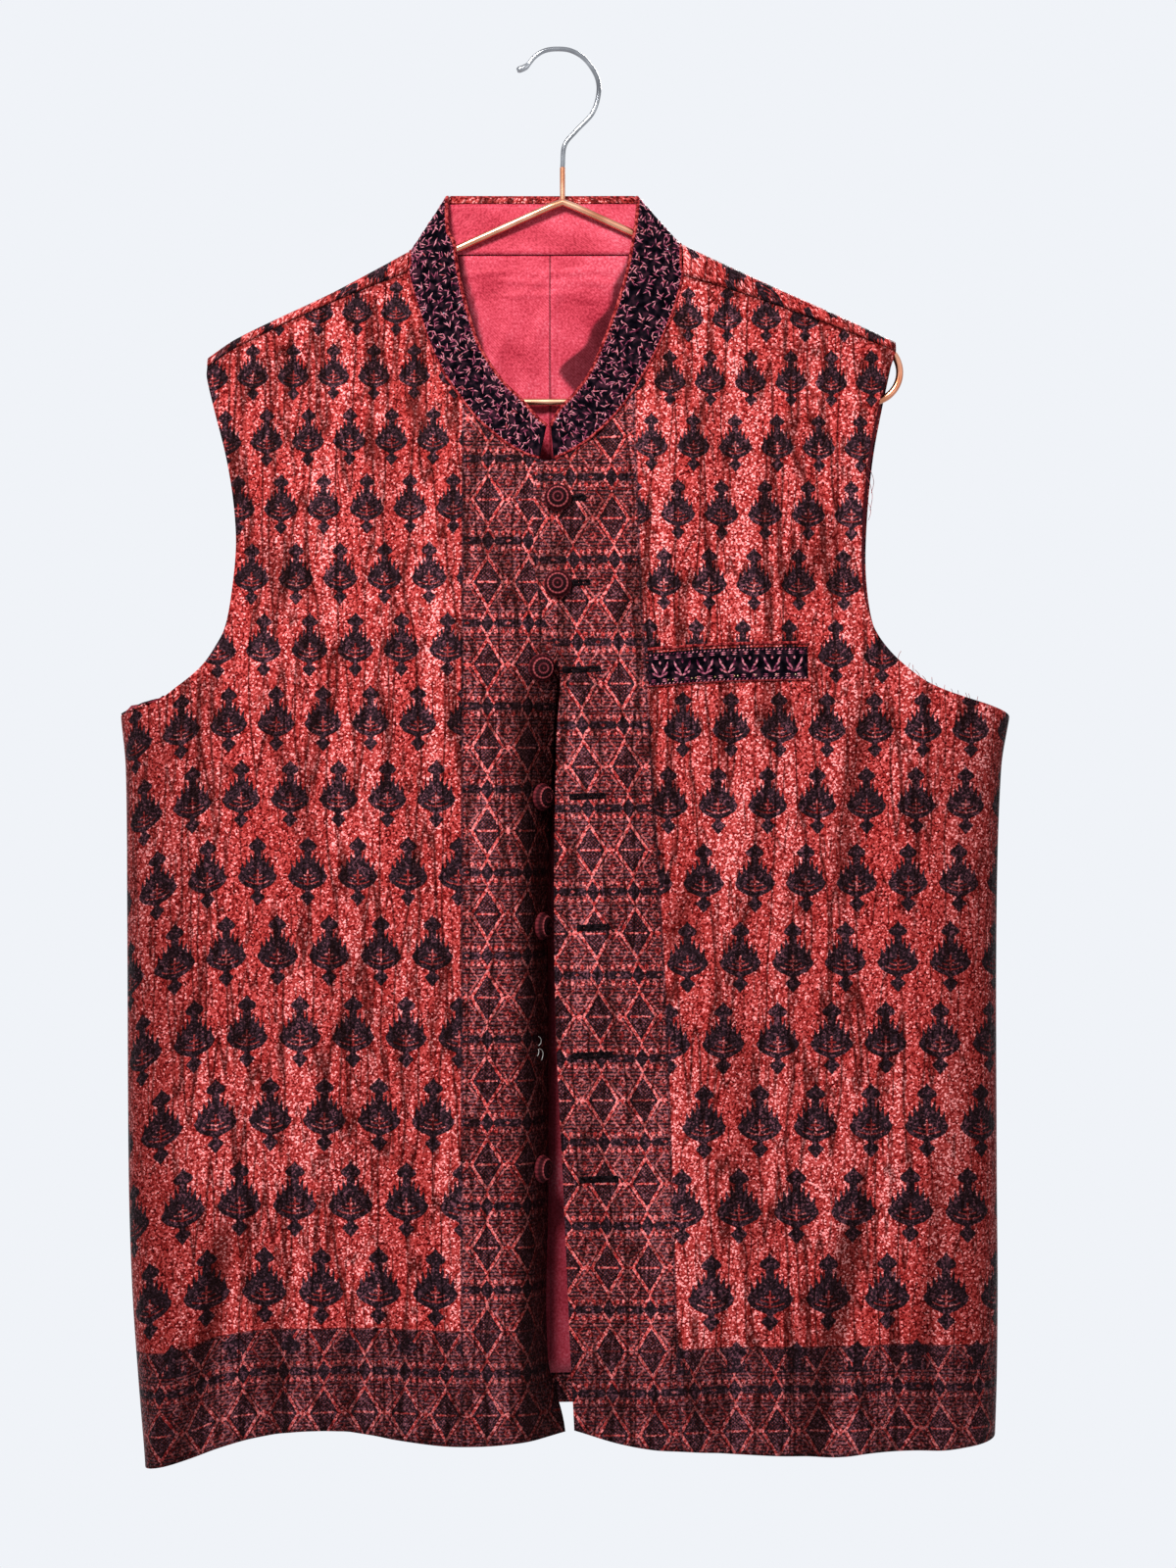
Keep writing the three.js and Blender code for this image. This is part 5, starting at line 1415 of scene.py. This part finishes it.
button_silk = button_finish()
on_right = dressed("right_front")
BUTTONS = {"button_1": (1.8, -283.5), "button_2": (1.8, -337)}
for name, z in (("button_3", -388), ("button_4", -468), ("button_5", -548), ("button_7", -698)):
    BUTTONS[name] = (float(smooth(HINGE, z)[0]) + CURL_FLAT + CURL_CLOTH - 12, z)
for name, (x, z) in BUTTONS.items():
    surface = on_left if x == 1.8 else on_right
    seat = seats(surface, np.array([x]), np.array([float(z)]), 0.6, 0.4 * z, 1.0, step=4)[0]
    moved = button_spots @ seat[:3, :3].T + seat[:3, 3]
    mesh = button_shape.copy()
    mesh.name = name + "_silk"
    mesh.vertices.foreach_set("co", moved.ravel())
    corners = np.zeros(len(mesh.loops), np.int32)
    mesh.loops.foreach_get("vertex_index", corners)
    at = button_spots[corners]
    angle = np.arctan2(at[:, 1], at[:, 0])
    set_uv(mesh, "ring", np.stack([np.hypot(at[:, 0], at[:, 1]) / 8.5, angle], -1))
    mesh.update()
    mesh.shade_smooth()
    mesh.materials.append(button_silk)
    piece(name + "_silk", mesh, "covered_button", [name])
print("buttons:", len(BUTTONS), "of", len(button_shape.polygons), "faces")

# %% Buttonholes and thread ends
HOLES = [(8, 18.5, -283.5), (10.5, 21, -336), (5.5, 27.7, -390), (9.8, 30.5, -468), (14.5, 33, -548.5),
         (12, 35, -627), (16, 38.5, -703)]
bars = []
for left, right, z in HOLES:
    across = np.arange(left, right, 0.75)
    for row in (-1, 1):
        bars.append(seats(on_left, across + rng.normal(0, 0.1, across.size),
                          z + row * 1.0 + 0.04 * (across - left), 0.35,
                          math.pi / 2 + rng.normal(0, 0.12, across.size), (2.6, 0.85, 1.0)))
    ends = np.array([left - 0.4, right])
    bars.append(seats(on_left, ends, np.full(2, z + 0.2), 0.4, math.pi / 2, (4.6, 1.3, 1.3)))
buttonholes = scatter("buttonhole_stitches", stitch, bars, black_thread, "covered_button")
print("buttonholes:", len(HOLES), "with", len(buttonholes.data.polygons), "faces")

# %% [markdown]
# Where the sixth button has come off, two white ends of its thread are left. Frayed ends also stand up
# along the left armhole, as they do where a raw edge was turned and pressed.

# %% Loose ends
def loose_end(surface, u, v, path):
    seat = seats(surface, np.array([u]), np.array([v]), 0.1, 0, 1.0, step=2)[0]
    line = through(path, np.linspace(0, len(path) - 1, 16))
    return (line @ seat[:3, :3].T + seat[:3, 3]) / MM


button_ends = tube("button_thread_ends", [
    loose_end(on_right, -5.0, -622.0, [(0, 0, 0), (1, 1.5, 1), (0.5, 4, 1.5), (-1.5, 6, 1)]),
    loose_end(on_right, -4.0, -624.0, [(0, 0, 0), (1.5, -1, 1), (2, -3.5, 1.5), (1, -7, 1)]),
    loose_end(on_right, -5.5, -624.0, [(0, 0, 0), (-1, -1, 1), (-1.5, -3, 1), (-3, -4, 1)]),
], 0.2, white_thread, "covered_button", sides=1)
hairs = []
for x in np.linspace(214, 262, 13) + rng.normal(0, 1.0, 13):
    edge = float(np.interp(x, *np.array([(204.5, -373), (217, -386), (236, -399), (270, -411)]).T)) - 1.5
    rise, side = rng.uniform(2.5, 5.5), rng.normal(0, 1.5)
    hairs.append(loose_end(on_left, x, edge, [(0, 0, 0), (side * 0.3, rise * 0.5, 0.4), (side, rise, 0.3)]))
for x, z, run in ((193.5, -268, 22), (194.5, -262, 17), (192.5, -282, 14)):
    hairs.append(loose_end(on_left, x, float(z), [
        (0, 0, 0), (2.5, -run * 0.25, 0.8), (3.8, -run * 0.6, 0.6), (2.2, -run, 0.4)]))
frayed_ends = tube("armhole_frayed_ends", hairs, 0.16, red_cord, "brocade", sides=1)
print("loose ends:", 3 + len(hairs))

# %% [markdown]
# ## Floor, light and camera
#
# A plain pale floor and soft light from large panels, as in a small product studio. The camera looks
# straight at the waistcoat from the front, level with its middle.

# %% Studio
def panel(name, place, target, size, power):
    light = bpy.data.lights.new(name, "AREA")
    light.shape, light.size, light.energy = "DISK", size, power
    obj = bpy.data.objects.new(name, light)
    obj.location = place
    obj.rotation_euler = (Vector(target) - Vector(place)).to_track_quat("-Z", "Y").to_euler()
    obj.visible_camera = False
    bpy.context.scene.collection.objects.link(obj)


panel("key", (-0.5, -1.4, 0.8), (0, 0, -0.42), 0.5, 59)
panel("fill", (1.5, -1.7, -0.3), (0, 0, -0.5), 1.6, 6.5)
panel("rear", (0.6, 1.6, 0.8), (0, 0, -0.42), 0.8, 44)
# A room this white would wash out every fold, so it is seen and mirrored at full strength but lights
# the cloth at less, as if black flags stood round the table.
world = bpy.context.scene.world or bpy.data.worlds.new("studio")
bpy.context.scene.world = world
world.use_nodes = True
room = world.node_tree
lighting, seen = room.nodes["Background"], room.nodes.new("ShaderNodeBackground")
for node, strength in ((lighting, 0.45), (seen, 1.0)):
    node.inputs["Color"].default_value = linear("#f0f3f8")
    node.inputs["Strength"].default_value = strength
chosen, either = room.nodes.new("ShaderNodeMixShader"), room.nodes.new("ShaderNodeMath")
path = room.nodes.new("ShaderNodeLightPath")
either.operation = "MAXIMUM"
room.links.new(path.outputs["Is Camera Ray"], either.inputs[0])
room.links.new(path.outputs["Is Glossy Ray"], either.inputs[1])
room.links.new(either.outputs[0], chosen.inputs[0])
room.links.new(lighting.outputs[0], chosen.inputs[1])
room.links.new(seen.outputs[0], chosen.inputs[2])
room.links.new(chosen.outputs[0], room.nodes["World Output"].inputs["Surface"])
bpy.context.scene.view_settings.view_transform = "Standard"

bm = bmesh.new()
bmesh.ops.create_grid(bm, x_segments=1, y_segments=1, size=1.0)
bmesh.ops.translate(bm, verts=bm.verts[:], vec=(0, 0, -1.45))
floor_mesh = bpy.data.meshes.new("floor")
bm.to_mesh(floor_mesh)
bm.free()
floor = bpy.data.objects.new("floor", floor_mesh)
bpy.context.scene.collection.objects.link(floor)
floor_paint, add = finish("matt_studio_paint_rolled")  # flat and pale, so it only lifts the shadows
roller = add("TexNoise", named={"Vector": add("TexCoord").outputs["Object"], "Scale": 400.0})
add("OutputMaterial", add("BsdfPrincipled", named={
    "Base Color": linear("#dfe2e6", 0.85), "Roughness": 0.9, "IOR": 1.5,
    "Normal": add("Bump", named={"Strength": 0.1, "Distance": 0.0003, "Height": roller})}))
floor_mesh.materials.append(floor_paint)

camera = bpy.data.cameras.new("camera")
camera.lens, camera.sensor_width, camera.sensor_fit = 58.5, 36, "AUTO"
camera_object = bpy.data.objects.new("camera", camera)
camera_object.location = (0.0203, -1.6, -0.460)
camera_object.rotation_euler = (math.pi / 2, 0, 0)
bpy.context.scene.collection.objects.link(camera_object)
bpy.context.scene.camera = camera_object

# %% [markdown]
# ## Flat sizes of the cloth
#
# Each cut's flat size and area are printed, as a cutter would note them; the table also lists what each cut hangs
# from.

# %% Sheets
def flat_size(flat):
    span = np.ptp(flat.reshape(-1, 2), axis=0) * MM
    a, b = flat[1:, 1:] - flat[:-1, :-1], flat[1:, :-1] - flat[:-1, 1:]
    area = abs(a[..., 0] * b[..., 1] - a[..., 1] * b[..., 0]).sum() / 2 * MM * MM
    return (float(span[0]), float(span[1])), float(area)


for obj, flat, on in (
    (cloths["left_front"], left_flat, ["back_cloth"]),
    (cloths["right_front"], right_flat, ["back_cloth"]),
    (cloths["back"], back_flat, ["hanger_frame"]),
    (lining, lining_flat, ["back_cloth"]),
):
    size, area = flat_size(flat)
    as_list(on)
    print(obj.name, [round(s, 3) for s in size], round(area, 4), "m2")
collar_size = float(collar_run[-1]) * MM, float(np.linalg.norm(collar_high - collar_low, axis=1).mean()) * MM
for obj, share in ((collar, 1.0), (collar_satin, 0.88)):
    print(obj.name, round(collar_size[0], 3), round(collar_size[1] * share, 4), "m")
# The strips along the collar's top and the pocket's edge show 3 to 4 mm, too narrow to count as sheets.
flat_size(welt_flat)[0]
